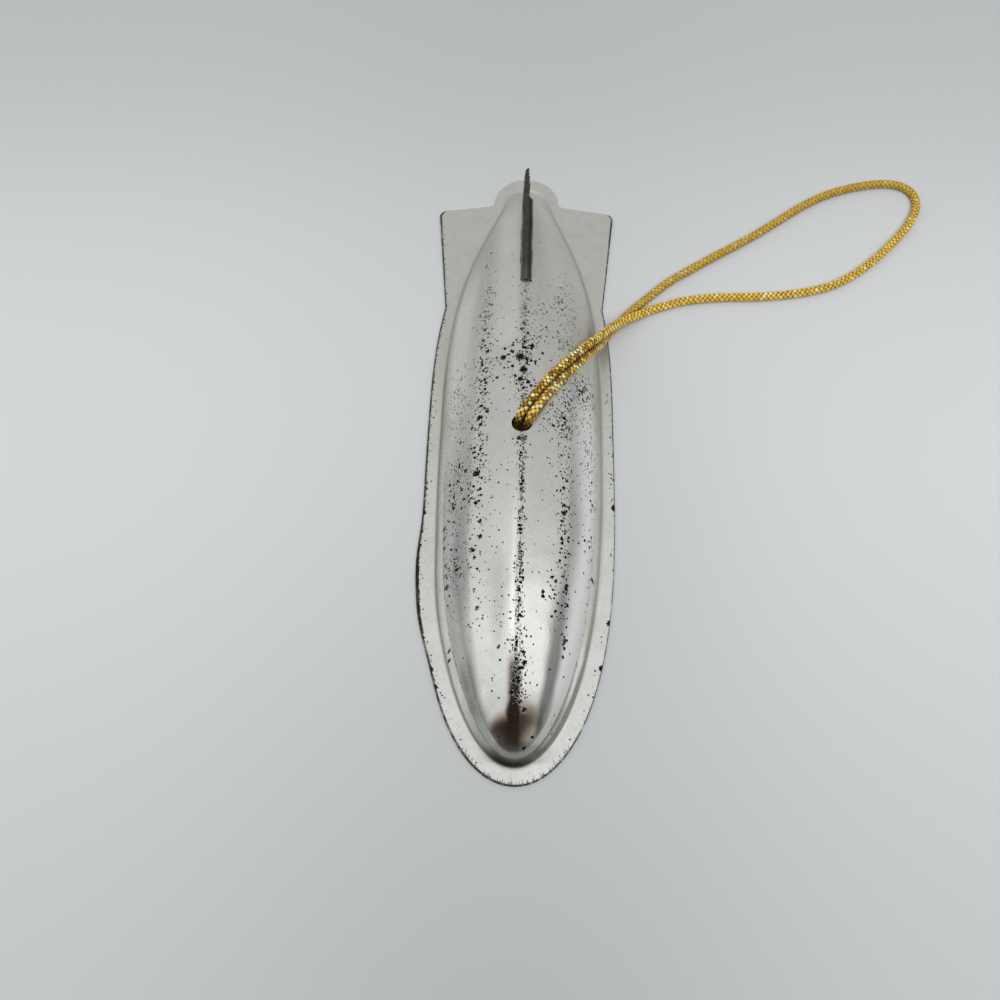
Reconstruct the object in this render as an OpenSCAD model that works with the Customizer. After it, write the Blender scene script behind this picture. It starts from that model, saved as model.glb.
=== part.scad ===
// Airship ornament pressed from thin tinplate: a half hull with a flat
// flange and tailplanes, a folded fin on top, and a hanging cord.
// Millimetres. X across, nose towards -Y, tail towards +Y, Z up.
// The flange's underside lies on z = 0.

/* [Hull] */
// Width of the raised hull at its base
hull_w = 27; // [24:0.5:30]
// Height of the hull above the flange's underside
hull_h = 12.4; // [10:0.1:14]
// From the middle station to the hull's nose
hull_nose = 55.4; // [50:0.1:56]
// From the middle station to the hull's tail
hull_tail = 56.2; // [55:0.1:57]
// Radius of the hull's rounded tail end
hull_tail_r = 4.3; // [3.5:0.1:4.5]
// Thickness of the tinplate
sheet_t = 0.45; // [0.35:0.05:0.6]
// How far each panel between two ridges is flattened towards a chord
panel_flat = 0.45; // [0:0.05:0.9]

/* [Flange] */
// From the middle station to the flange's nose
flange_nose = 58.5; // [57:0.1:60]
// Width of the flat rim beside the hull
rim_w = 2.35; // [1.5:0.05:3]
// Where the tailplanes begin, from the middle station
waist_y = 27.6; // [24:0.1:30]
// Half span of the tailplanes at their front
plane_front = 14.35; // [14:0.05:15]
// Half span of the tailplanes at their back
plane_back = 16.6; // [15.5:0.05:18]
// Where the tailplanes' rear corners lie
plane_y = 50.1; // [48:0.1:51]
// Radius of the rounded tail end of the flange
tail_r = 6; // [5.5:0.1:6.5]

/* [Cord hole] */
// Radius of the hole for the cord
hole_r = 1.65; // [1.6:0.05:2]
// Position of the hole along the hull
hole_y = -4; // [-6:0.1:-2]

/* [Fin] */
// Width over the folded fin
fin_w = 2; // [1.4:0.1:2.2]
// How far the fin stands to the right of the centre line
fin_x = 0.15; // [0:0.05:0.3]
// Where the fold leaves the hull
fin_front = 25.4; // [24:0.1:28]
// Slope of the fold along the fin's upper edge, in degrees
fin_slope = 7.5; // [6:0.1:12]
// Where the shorter right leaf ends
right_leaf_end = 41.9; // [41.8:0.1:46]
// Where the left leaf ends
left_leaf_end = 47.8; // [46:0.1:49]

/* [Cord] */
// Diameter of the hanging cord
cord_d = 1.5; // [1.4:0.02:1.52]
// Greatest radius of the knot
knot_r = 2.2; // [1.8:0.1:2.4]

/* [Hidden] */

stations = 20;      // rings of points in each half of the hull
panel_steps = 4;    // points in each panel between two ridges
slack = 0.05;       // gap between the bent tabs and the hull's inner face
slot_gap = 0.1;     // gap round the tabs in their slots
W = hull_w / 2;
knot_top = 11.2;
knot_bottom = 8.4;

// Half width of the hull's base at a place along it. Towards the tail it
// narrows to a round end that keeps even with the flange's round end.
round_y = hull_tail - hull_tail_r;
function half_w(y) = y < 0
    ? W * sqrt(max(0, 1 - pow(min(1, -y / hull_nose), 2.7)))
    : y < round_y
    ? hull_tail_r + (W - hull_tail_r) * pow(1 - pow(y / round_y, 3.2), 1.35)
    : sqrt(max(0, pow(hull_tail_r, 2) - pow(y - round_y, 2)));

// Height of the hull's ridge at a place along it
function ridge_z(y) = y < 0
    ? hull_h * half_w(y) / W
    : hull_h * pow(max(0, 1 - pow(min(1, y / hull_tail), 3)), 1.1);

// One half of the cross-section from the base (angle 0) to the top ridge.
// Ridges lie at these angles, with slightly flattened panels between them.
ridge_angle = [0, 30.5, 55, 90];
function on_arc(a) = [cos(a), sin(a)];
function panel_point(k, t) =
    let(a0 = ridge_angle[k], a1 = ridge_angle[k + 1],
        chord = on_arc(a0) * (1 - t) + on_arc(a1) * t,
        arc = on_arc(a0 + (a1 - a0) * t))
    chord * panel_flat + arc * (1 - panel_flat);
right_half = [for (k = [0:2]) for (i = [0:panel_steps - 1]) panel_point(k, i / panel_steps)];
section = concat(right_half, [[0, 1]],
    [for (i = [len(right_half) - 1:-1:0]) [-right_half[i][0], right_half[i][1]]]);
M = len(section);

// Stations crowd towards the two ends, where the hull closes
ys = concat([for (i = [1:stations]) -hull_nose * cos(90 * i / stations)],
            [for (i = [1:stations - 1]) hull_tail * sin(90 * i / stations)]);
N = len(ys);

// Grid of points of the hull's face, moved in by d on every side
function face(d) =
    let(fx = (W - d) / W, fz = (hull_h - d) / hull_h)
    [for (y = ys) for (p = section)
        [p[0] * half_w(y) * fx,
         y * (y < 0 ? (hull_nose - d) / hull_nose : (hull_tail - d) / hull_tail),
         p[1] * ridge_z(y) * fz]];

// Closed body under the hull's face moved in by d. Its bottom is at z = 0.
module hull_body(d) {
    pts = concat(face(d), [[0, -hull_nose + d, 0], [0, hull_tail - d, 0]]);
    nose = N * M;
    tail = N * M + 1;
    polyhedron(pts, concat(
        [for (i = [0:N - 2]) for (j = [0:M - 2]) [(i + 1) * M + j + 1, (i + 1) * M + j, i * M + j]],
        [for (i = [0:N - 2]) for (j = [0:M - 2]) [i * M + j + 1, (i + 1) * M + j + 1, i * M + j]],
        [for (j = [0:M - 2]) [j + 1, j, nose]],
        [for (j = [0:M - 2]) [(N - 1) * M + j, (N - 1) * M + j + 1, tail]],
        [concat([tail], [for (i = [N - 1:-1:0]) i * M + M - 1], [nose], [for (i = [0:N - 1]) i * M])]
    ), convexity = 4);
}

// Outline of the hull's base, moved in by d
function base_outline(d) =
    let(f = face(d))
    concat([[0, -hull_nose + d]],
        [for (i = [0:N - 1]) [f[i * M][0], f[i * M][1]]],
        [[0, hull_tail - d]],
        [for (i = [N - 1:-1:0]) [f[i * M + M - 1][0], f[i * M + M - 1][1]]]);

function arc_points(cx, cy, r, a0, a1, n) =
    [for (i = [0:n]) [cx + r * cos(a0 + (a1 - a0) * i / n), cy + r * sin(a0 + (a1 - a0) * i / n)]];

// Right half of the flange's outline, from the nose to the tail
corner_r = 1.5;
fillet_r = 1.2;
te_slope = 9.2;
tail_cy = flange_nose - tail_r;
corner_cx = plane_back - corner_r - 0.05;
te_y0 = plane_y + 0.13;
function te(x) = te_y0 + (corner_cx + 0.24 - x) * tan(te_slope);
fillet_cy = te(tail_r + fillet_r) + fillet_r / cos(te_slope);
fillet_cx = sqrt(pow(tail_r + fillet_r, 2) - pow(fillet_cy - tail_cy, 2));
meet = atan2(fillet_cy - tail_cy, fillet_cx);
flange_half = concat(
    [for (i = [1:28]) let(y = -flange_nose * cos(90 * i / 28))
        [(W + rim_w) * sqrt(max(0, 1 - pow(min(1, -y / flange_nose), 3.25))), y]],
    [for (i = [1:9]) let(y = waist_y * i / 9)
        [i == 9 ? plane_front : half_w(y) + rim_w, y]],
    arc_points(corner_cx, plane_y - 1.35, corner_r, -5.7, 90 - te_slope, 6),
    arc_points(fillet_cx, fillet_cy, fillet_r, 270 - te_slope, 180 + meet, 4),
    arc_points(0, tail_cy, tail_r, meet + 8, 82, 8));
flange_outline = concat([[0, -flange_nose]], flange_half, [[0, flange_nose]],
    [for (i = [len(flange_half) - 1:-1:0]) [-flange_half[i][0], flange_half[i][1]]]);

tabs = [[29.8, 33.4], [36.6, 40.2]];   // first and last station of each pair of tabs

module hull_shell() {
    color([0.78, 0.78, 0.76]) difference() {
        union() {
            difference() {
                hull_body(0);
                hull_body(sheet_t);
            }
            linear_extrude(sheet_t) difference() {
                polygon(flange_outline);
                polygon(base_outline(sheet_t / 2));
            }
        }
        translate([0, hole_y, hull_h - 4]) cylinder(h = 8, r = hole_r, $fn = 48);
        for (t = tabs)
            translate([fin_x - fin_w / 2 - slot_gap, t[0] - slot_gap, 3])
                cube([fin_w + 2 * slot_gap, t[1] - t[0] + 2 * slot_gap, 12]);
    }
}

fold_z = ridge_z(fin_front) + 0.65;   // top of the fold where the fin begins

// The folded sheet before it is trimmed: a closed fold above, open below
module folded_sheet() {
    translate([0, fin_front - 3, fold_z - 3 * tan(fin_slope)]) rotate([fin_slope, 0, 0])
        rotate([90, 0, 0]) translate([0, 0, -32]) linear_extrude(32)
            translate([0, -fin_w / 2]) difference() {
                union() {
                    circle(r = fin_w / 2, $fn = 32);
                    translate([-fin_w / 2, -18]) square([fin_w, 18]);
                }
                circle(r = fin_w / 2 - sheet_t, $fn = 32);
                translate([-fin_w / 2 + sheet_t, -19]) square([fin_w - 2 * sheet_t, 19]);
            }
}

// Height of the hull's face moved in by d, near the top ridge
top_drop = (1 - sin(ridge_angle[2])) / cos(ridge_angle[2]);
function skin_z(x, y, d) =
    let(u = abs(x) / (half_w(y) * (W - d) / W))
    ridge_z(y) * (hull_h - d) / hull_h
        * (panel_flat * (1 - top_drop * u) + (1 - panel_flat) * sqrt(1 - u * u));

// Side outline of one leaf over the width x0 to x1. Its foot follows the
// hull's ridge, except at the tabs, where it goes down through the hull.
module leaf_side(x0, x1, end, lean) {
    translate([x0, 0, 0]) rotate([90, 0, 90]) linear_extrude(x1 - x0) union() {
        polygon(concat([[fin_front, 20]],
            [for (i = [0:12]) let(y = fin_front + (end - fin_front) * i / 12) [y, skin_z(0, y, 0) + 0.02]],
            [[end + lean, 20]]));
        for (t = tabs)
            polygon([[t[0], 20], [t[0], skin_z(0, t[0], sheet_t) - 0.35],
                     [t[1], skin_z(0, t[1], sheet_t) - 0.35], [t[1], 20]]);
    }
}

// One tab bent outwards, lying just under the hull's inner face
module bent_tab(y0, y1, s) {
    x0 = fin_w / 2 - sheet_t;
    x1 = fin_w / 2 + 2.2;
    d = sheet_t + slack;
    top = [for (q = [[x0, y0], [x1, y0], [x1, y1], [x0, y1]])
        [s * q[0], q[1], skin_z(s * q[0] + fin_x, q[1], d) - 0.03]];
    pts = concat(top, [for (q = top) q - [0, 0, sheet_t]]);
    f = [[0, 1, 2, 3], [7, 6, 5, 4], [1, 0, 4, 5], [2, 1, 5, 6], [3, 2, 6, 7], [0, 3, 7, 4]];
    polyhedron(pts, s < 0 ? f : [for (q = f) [for (i = [3:-1:0]) q[i]]]);
}

module vertical_fin() {
    color([0.36, 0.36, 0.35]) translate([fin_x, 0, 0]) {
        intersection() {
            folded_sheet();
            union() {
                leaf_side(-2, 0, left_leaf_end, 0);
                leaf_side(-0.01, 2, right_leaf_end - 1.4, 2);
            }
        }
        for (t = tabs) for (s = [-1, 1]) bent_tab(t[0], t[1], s);
    }
}

// Centreline of the hanging cord: out of the hole, down the hull's right
// shoulder, over the returning strand beside the flange, along the surface
// it lies on, round the loop, under the first strand and back into the hole
route = [
    [-0.8, -3.8, 11.2], [-0.65, -3.55, 12], [-0.4, -3.15, 12.7], [-0.05, -2.6, 13.2], [0.35, -2, 13.55],
    [0.85, -1.3, 13.7], [1.75, 0.1, 13.7], [2.7, 1.8, 13.45], [4, 4, 12.95], [5.4, 6, 12.4],
    [7, 8, 11.75], [8.5, 10.2, 10.9], [10.1, 12.6, 9.6], [11.8, 15.3, 7.75], [13.5, 18, 5.9],
    [15.1, 20.4, 4.5], [16.8, 22.5, 3.25], [18.8, 24.5, 2.15], [20.7, 25.9, 1.35], [22.4, 27.1, 0.9],
    [24.4, 28, 0.75], [26.4, 28.8, 0.75], [28.4, 29.5, 0.75], [30.6, 30, 0.75], [33.6, 30.5, 0.75],
    [36.8, 30.8, 0.75], [39.9, 30.9, 0.75], [43, 31.1, 0.75], [45.9, 31.4, 0.75], [49.1, 31.9, 0.75],
    [52.3, 32.6, 0.75], [55.2, 33.5, 0.75], [57.6, 34.6, 0.75], [59.8, 35.9, 0.75], [62.1, 37.6, 0.75],
    [64.4, 39.6, 0.75], [66.8, 41.9, 0.75], [69.1, 44.4, 0.75], [71, 46.6, 0.75], [72.6, 48.7, 0.75],
    [73.8, 50.7, 0.75], [74.7, 52.6, 0.75], [75.2, 54.6, 0.75], [74.9, 56.6, 0.75], [73.7, 58.3, 0.75],
    [71.6, 59.2, 0.75], [69, 59.3, 0.75], [65.8, 58.8, 0.75], [62.5, 57.9, 0.75], [59, 56.6, 0.75],
    [55.6, 54.8, 0.75], [52.1, 52.4, 0.75], [48.6, 49.7, 0.75], [44.1, 46.2, 0.75], [39.7, 43.1, 0.75],
    [35.3, 40.2, 0.75], [31, 37.2, 0.75], [26.6, 34, 0.75], [22.9, 30.5, 0.75], [20.7, 28.3, 0.8],
    [18.8, 26.3, 0.9], [17.1, 24, 1.3], [15.6, 21.6, 2.05], [14.2, 19, 3.3], [12.9, 16.1, 5.2],
    [11.6, 13.4, 7.2], [10.3, 11, 8.9], [9.1, 8.9, 10.05], [8, 7.1, 10.9], [7.1, 5.5, 11.55],
    [6.1, 3.7, 12.15], [4.9, 1.9, 12.8], [3.8, 0.2, 13.4], [2.9, -1.1, 13.65], [2.1, -2.2, 13.7],
    [1.6, -2.9, 13.55], [1.2, -3.5, 13.2], [0.85, -4.05, 12.7], [0.55, -4.45, 12], [0.4, -4.7, 11.2]];
tail_a = [[-0.7, -3.7, knot_bottom], [-0.8, -3.5, 7], [-1.1, -3.1, 5.5], [-1.6, -2.6, 4.1], [-2.3, -2.2, 2.9]];
tail_b = [[0.6, -4.6, knot_bottom], [0.8, -4.9, 7], [1, -5.4, 5.6], [0.9, -6, 4.3], [0.5, -6.7, 3.2]];

function unit(v) = v / norm(v);
// Direction at a point of a route. The ends stand square on the knot.
function along(p, i) =
    i == 0 ? [0, 0, sign(p[1][2] - p[0][2])]
    : i == len(p) - 1 ? (abs(p[i][2] - knot_top) < 0.01 ? [0, 0, -1] : unit(p[i] - p[i - 1]))
    : unit(unit(p[i] - p[i - 1]) + unit(p[i + 1] - p[i]));
// Carries the first side vector along the route without twisting it
function frames(p, i, side) =
    let(t = along(p, i), s = unit(side - t * (side * t)))
    i == len(p) - 1 ? [[t, s]] : concat([[t, s]], frames(p, i + 1, s));

module cord_tube(p, d) {
    n = 8;
    fr = frames(p, 0, [1, 0, 0]);
    pts = [for (i = [0:len(p) - 1]) let(t = fr[i][0], s = fr[i][1], u = cross(t, s))
        for (k = [0:n - 1]) p[i] + (s * cos(360 * k / n) + u * sin(360 * k / n)) * (d / 2 - 0.01)];
    last = (len(p) - 1) * n;
    polyhedron(pts, concat(
        [[for (k = [0:n - 1]) k]],
        [for (i = [0:len(p) - 2]) for (k = [0:n - 1])
            [i * n + k, (i + 1) * n + k, i * n + (k + 1) % n]],
        [for (i = [0:len(p) - 2]) for (k = [0:n - 1])
            [(i + 1) * n + k, (i + 1) * n + (k + 1) % n, i * n + (k + 1) % n]],
        [[for (k = [n - 1:-1:0]) last + k]]), convexity = 6);
}

module hanging_cord() {
    color([0.82, 0.62, 0.16]) cord_tube(route, cord_d);
}

module cord_knot() {
    color([0.8, 0.6, 0.15]) translate([-0.1, -4.2, 0]) rotate_extrude($fn = 40)
        polygon([[0, knot_bottom], [1.5, knot_bottom], [knot_r - 0.15, knot_bottom + 0.7],
                 [knot_r, (knot_top + knot_bottom) / 2], [knot_r - 0.15, knot_top - 0.7],
                 [1.7, knot_top], [0, knot_top]]);
}

module cord_tails() {
    color([0.85, 0.66, 0.2]) {
        cord_tube(tail_a, cord_d);
        cord_tube(tail_b, cord_d);
    }
}

hull_shell();
vertical_fin();
hanging_cord();
cord_knot();
cord_tails();
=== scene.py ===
import math
import bpy
import bmesh
import numpy as np
from mathutils import Matrix, Vector, kdtree


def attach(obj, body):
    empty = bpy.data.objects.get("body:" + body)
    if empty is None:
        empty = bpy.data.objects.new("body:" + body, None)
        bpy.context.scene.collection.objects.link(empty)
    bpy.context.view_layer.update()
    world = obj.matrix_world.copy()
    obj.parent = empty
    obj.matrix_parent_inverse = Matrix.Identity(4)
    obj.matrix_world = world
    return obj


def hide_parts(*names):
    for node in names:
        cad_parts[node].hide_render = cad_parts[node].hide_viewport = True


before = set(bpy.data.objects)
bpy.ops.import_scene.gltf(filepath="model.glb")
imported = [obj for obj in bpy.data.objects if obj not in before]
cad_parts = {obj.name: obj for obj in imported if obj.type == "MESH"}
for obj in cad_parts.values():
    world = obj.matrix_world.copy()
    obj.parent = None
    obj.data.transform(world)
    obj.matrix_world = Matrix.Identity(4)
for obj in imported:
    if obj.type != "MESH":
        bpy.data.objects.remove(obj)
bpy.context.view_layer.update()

MM = 0.001
scene = bpy.context.scene


def link(ob):
    scene.collection.objects.link(ob)
    return ob


# ---------------------------------------------------------------- camera
cam = bpy.data.cameras.new("camera")
cam.lens = 37.8
cam.sensor_width = 36.0
cam.sensor_fit = "HORIZONTAL"
cam.clip_start = 0.005
cam.clip_end = 5.0
cam.dof.use_dof = False
cam_ob = link(bpy.data.objects.new("camera", cam))
heading, down = math.radians(-1.676), math.radians(63.0)
look = Vector((math.sin(heading) * math.cos(down), math.cos(heading) * math.cos(down), -math.sin(down)))
right = Vector((math.cos(heading), -math.sin(heading), 0.0))
up = right.cross(look)
turn = Matrix((right, up, -look)).transposed().to_4x4()
cam_ob.matrix_world = Matrix.Translation(Vector((-0.95, -90.73, 155.28)) * MM) @ turn
scene.camera = cam_ob


# ---------------------------------------------------------------- small tools
def mesh_object(name, verts, faces, uvs=None, smooth_angle=None):
    """verts in millimetres, faces as lists of indices. The object stands at the origin."""
    me = bpy.data.meshes.new(name)
    me.from_pydata((np.asarray(verts, float) * MM).tolist(), [], faces)
    me.validate()
    if uvs is not None:
        layer = me.uv_layers.new(name="along")
        index = np.empty(len(me.loops), np.int32)
        me.loops.foreach_get("vertex_index", index)
        layer.data.foreach_set("uv", np.asarray(uvs, np.float32)[index].ravel())
    for p in me.polygons:
        p.use_smooth = True
    if smooth_angle:
        me.set_sharp_from_angle(angle=math.radians(smooth_angle))
    me.update()
    return link(bpy.data.objects.new(name, me))


def spline(points, step):
    """A smooth curve through points, as evenly spaced samples about step apart."""
    p = np.asarray(points, float)
    q = np.vstack([2 * p[0] - p[1], p, 2 * p[-1] - p[-2]])
    out = []
    for i in range(1, len(q) - 2):
        # centripetal knots keep the curve free of kinks where points crowd
        a, b, c, d = q[i - 1:i + 3]
        t0 = 0.0
        t1 = t0 + max(np.linalg.norm(b - a), 1e-6) ** 0.5
        t2 = t1 + max(np.linalg.norm(c - b), 1e-6) ** 0.5
        t3 = t2 + max(np.linalg.norm(d - c), 1e-6) ** 0.5
        for t in np.linspace(t1, t2, 24, endpoint=False):
            a1 = (t1 - t) / (t1 - t0) * a + (t - t0) / (t1 - t0) * b
            a2 = (t2 - t) / (t2 - t1) * b + (t - t1) / (t2 - t1) * c
            a3 = (t3 - t) / (t3 - t2) * c + (t - t2) / (t3 - t2) * d
            b1 = (t2 - t) / (t2 - t0) * a1 + (t - t0) / (t2 - t0) * a2
            b2 = (t3 - t) / (t3 - t1) * a2 + (t - t1) / (t3 - t1) * a3
            out.append((t2 - t) / (t2 - t1) * b1 + (t - t1) / (t2 - t1) * b2)
    out.append(p[-1])
    out = np.array(out)
    return even(out, step)


def even(line, step):
    s = np.concatenate([[0], np.cumsum(np.linalg.norm(np.diff(line, axis=0), axis=1))])
    n = max(2, int(round(s[-1] / step)))
    at = np.linspace(0, s[-1], n + 1)
    return np.stack([np.interp(at, s, line[:, k]) for k in range(3)], axis=1)


def relax(line, width):
    """Evens out small kinks. The ends stay."""
    k = np.exp(-0.5 * (np.arange(-3 * width, 3 * width + 1) / width) ** 2)
    k /= k.sum()
    pad = len(k) // 2
    ext = np.vstack([2 * line[0] - line[pad:0:-1], line, 2 * line[-1] - line[-2:-pad - 2:-1]])
    return np.stack([np.convolve(ext[:, i], k, "valid") for i in range(3)], axis=1)


def braid(theta, s, carriers=4, pitch=0.9):
    """Height from 0 to 1 of a tubular braid at angle theta and length s, and
    a chance value for the strand on top. The strands are flat bundles laid
    two ways."""
    a = carriers * theta / (2 * np.pi) + s / pitch
    b = carriers * theta / (2 * np.pi) - s / pitch
    fa, fb = np.floor(a), np.floor(b)
    over = (fa + fb) % 2 == 0
    u = np.where(over, a - fa, b - fb) - 0.5     # across the strand on top
    v = np.where(over, b - fb, a - fa) - 0.5     # along it
    crown = np.sqrt(np.clip(1 - (2 * u) ** 2, 0, 1))
    bend = np.cos(np.pi * v) ** 0.7
    chance = np.abs(np.sin(fa * 12.9898 + fb * 78.233) * 43758.5453) % 1.0
    return crown * (0.35 + 0.65 * bend), chance


def cord_mesh(line, radius, sides=40, pitch=0.9, depth=0.26, caps=True):
    """A braided cord along line (mm, evenly spaced). The strands are in the mesh."""
    line = np.asarray(line, float)
    n = len(line)
    t = np.gradient(line, axis=0)
    t /= np.linalg.norm(t, axis=1)[:, None]
    side = np.array([0.3, 0.2, 1.0]) if abs(t[0][2]) < 0.9 else np.array([1.0, 0.2, 0.0])
    s = np.concatenate([[0], np.cumsum(np.linalg.norm(np.diff(line, axis=0), axis=1))])
    verts, marks = np.empty((n, sides, 3)), np.empty((n, sides, 4))
    ang = 2 * np.pi * np.arange(sides) / sides
    for i in range(n):
        side = side - t[i] * (side @ t[i])
        side /= np.linalg.norm(side)
        other = np.cross(t[i], side)
        h, chance = braid(ang, s[i], pitch=pitch)
        squeeze = 1 - 0.15 * min(1.0, max(0.0, (13.3 - line[i][2]) / 0.9)) if min(s[i], s[-1] - s[i]) < 4 else 1.0
        r = radius * squeeze * (1 - depth * (1 - h))
        verts[i] = line[i] + r[:, None] * (np.cos(ang)[:, None] * side + np.sin(ang)[:, None] * other)
        marks[i, :, 0], marks[i, :, 1], marks[i, :, 2] = h, chance, s[i]
        # painted shade: darker where the cord goes down into the hole, and all over the short knot and tails that hang
        # under the shell
        marks[i, :, 3] = min(1.0, max(0.0, (13.0 - line[i][2]) / 1.0)) if min(s[i], s[-1] - s[i]) < 4 or s[-1] < 40 else 0.0
    faces = []
    for i in range(n - 1):
        for k in range(sides):
            k2 = (k + 1) % sides
            faces.append([i * sides + k, i * sides + k2, (i + 1) * sides + k2, (i + 1) * sides + k])
    if caps:
        faces.append([k for k in range(sides)][::-1])
        faces.append([(n - 1) * sides + k for k in range(sides)])
    return verts.reshape(-1, 3), faces, marks.reshape(-1, 4)


def mark(ob, marks):
    """Keeps the braid's height, chance and length, and the painted shade in and below the hole, on the mesh for its
    material.
    """
    for k, name in enumerate(("crown", "chance", "length", "hole_shade")):
        a = ob.data.attributes.new(name, "FLOAT", "POINT")
        a.data.foreach_set("value", np.ascontiguousarray(np.asarray(marks, np.float32)[:, k]))


def tube_object(name, line, radius, **kw):
    v, f, marks = cord_mesh(line, radius, **kw)
    ob = mesh_object(name, v, f)
    mark(ob, marks)
    return ob


# ---------------------------------------------------------------- the hanging cord
route = [
    [-0.78, -3.65, 11.2], [-0.64, -3.4, 12], [-0.38, -3.05, 12.7], [-0.03, -2.55, 13.2], [0.35, -2, 13.55],
    [0.85, -1.3, 13.7], [1.75, 0.1, 13.7], [2.74, 1.77, 13.44], [4.07, 3.94, 12.93], [5.46, 5.95, 12.38],
    [7, 8, 11.75], [8.5, 10.2, 10.9], [10.1, 12.6, 9.6], [11.8, 15.3, 7.75], [13.5, 18, 5.9],
    [15.1, 20.4, 4.5], [16.8, 22.5, 3.25], [18.8, 24.5, 2.15], [20.7, 25.9, 1.37], [22.4, 27.1, 0.93],
    [24.4, 28, 0.8], [26.4, 28.8, 0.8], [28.4, 29.5, 0.8], [30.6, 30, 0.8], [33.6, 30.5, 0.8],
    [36.8, 30.8, 0.8], [39.9, 30.9, 0.8], [43, 31.1, 0.8], [45.9, 31.4, 0.8], [49.1, 31.9, 0.8],
    [52.3, 32.6, 0.8], [55.2, 33.5, 0.8], [57.6, 34.6, 0.8], [59.8, 35.9, 0.8], [62.1, 37.6, 0.8],
    [64.4, 39.6, 0.8], [66.8, 41.9, 0.8], [69.1, 44.4, 0.8], [71, 46.6, 0.8], [72.6, 48.7, 0.8],
    [73.8, 50.7, 0.8], [74.7, 52.6, 0.8], [75.2, 54.6, 0.8], [74.9, 56.6, 0.8], [73.7, 58.3, 0.8],
    [71.6, 59.2, 0.8], [69, 59.3, 0.8], [65.8, 58.8, 0.8], [62.5, 57.9, 0.8], [59, 56.6, 0.8],
    [55.6, 54.8, 0.8], [52.1, 52.4, 0.8], [48.6, 49.7, 0.8], [44.1, 46.2, 0.8], [39.7, 43.1, 0.8],
    [35.3, 40.2, 0.8], [31, 37.2, 0.8], [26.6, 34, 0.8], [22.9, 30.5, 0.8], [20.7, 28.3, 0.84],
    [18.8, 26.3, 0.94], [17.1, 24, 1.3], [15.6, 21.6, 2.05], [14.2, 19, 3.3], [12.9, 16.1, 5.2],
    [11.6, 13.4, 7.2], [10.3, 11, 8.9], [9.1, 8.9, 10.05], [7.93, 7.15, 10.92], [6.93, 5.63, 11.6],
    [5.91, 3.86, 12.2], [4.72, 2.04, 12.85], [3.68, 0.3, 13.44], [2.9, -1.1, 13.65], [2.1, -2.2, 13.7],
    [1.6, -2.85, 13.5], [1.25, -3.35, 13.1], [1.0, -3.75, 12.6], [0.8, -4.05, 12], [0.68, -4.25, 11.2]]
CORD_R = 0.8
line = relax(spline(route, 0.06), 14)
line = even(line, 0.09)
cord = tube_object("hanging_cord_braid", line, CORD_R)
# where the two runs lie against each other: a painted shade for the dark line between them
co = np.array([v.co[:] for v in cord.data.vertices]) / MM
half = len(line) // 2
contact_shade = np.zeros(len(co))
ends = int(46 / 0.09)
for own, other in ((slice(0, ends), line[half:]), (slice(len(line) - ends, len(line)), line[:half])):
    tree = kdtree.KDTree(len(other))
    for i, q in enumerate(other):
        tree.insert(q, i)
    tree.balance()
    index = np.arange(len(line))[own]
    ids = (index[:, None] * 40 + np.arange(40)[None, :]).ravel()
    contact_shade[ids] = [min(1.0, max(0.0, (1.46 - tree.find(co[i])[2]) / 0.6)) for i in ids]
cord.data.attributes.new("contact_shade", "FLOAT", "POINT").data.foreach_set("value", contact_shade.astype(np.float32))
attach(cord, "root")
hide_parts("hanging_cord")

# the knot under the hole: the doubled cord tied in itself, drawn tight
tt = np.linspace(0, 2 * np.pi, 260, endpoint=False)
kx = (np.sin(tt) + 2 * np.sin(2 * tt)) / 3 * 1.52
ky = (np.cos(tt) - 2 * np.cos(2 * tt)) / 3 * 1.52
kz = -np.sin(3 * tt) * 0.66
knot_line = np.stack([kx - 0.1, ky - 4.2, kz + 9.8], axis=1)
knot_line = even(np.vstack([knot_line, knot_line[:1]]), 0.07)
knot = tube_object("cord_knot_tied", knot_line, 0.73, sides=24, caps=False)
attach(knot, "root")
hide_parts("cord_knot")

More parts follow.
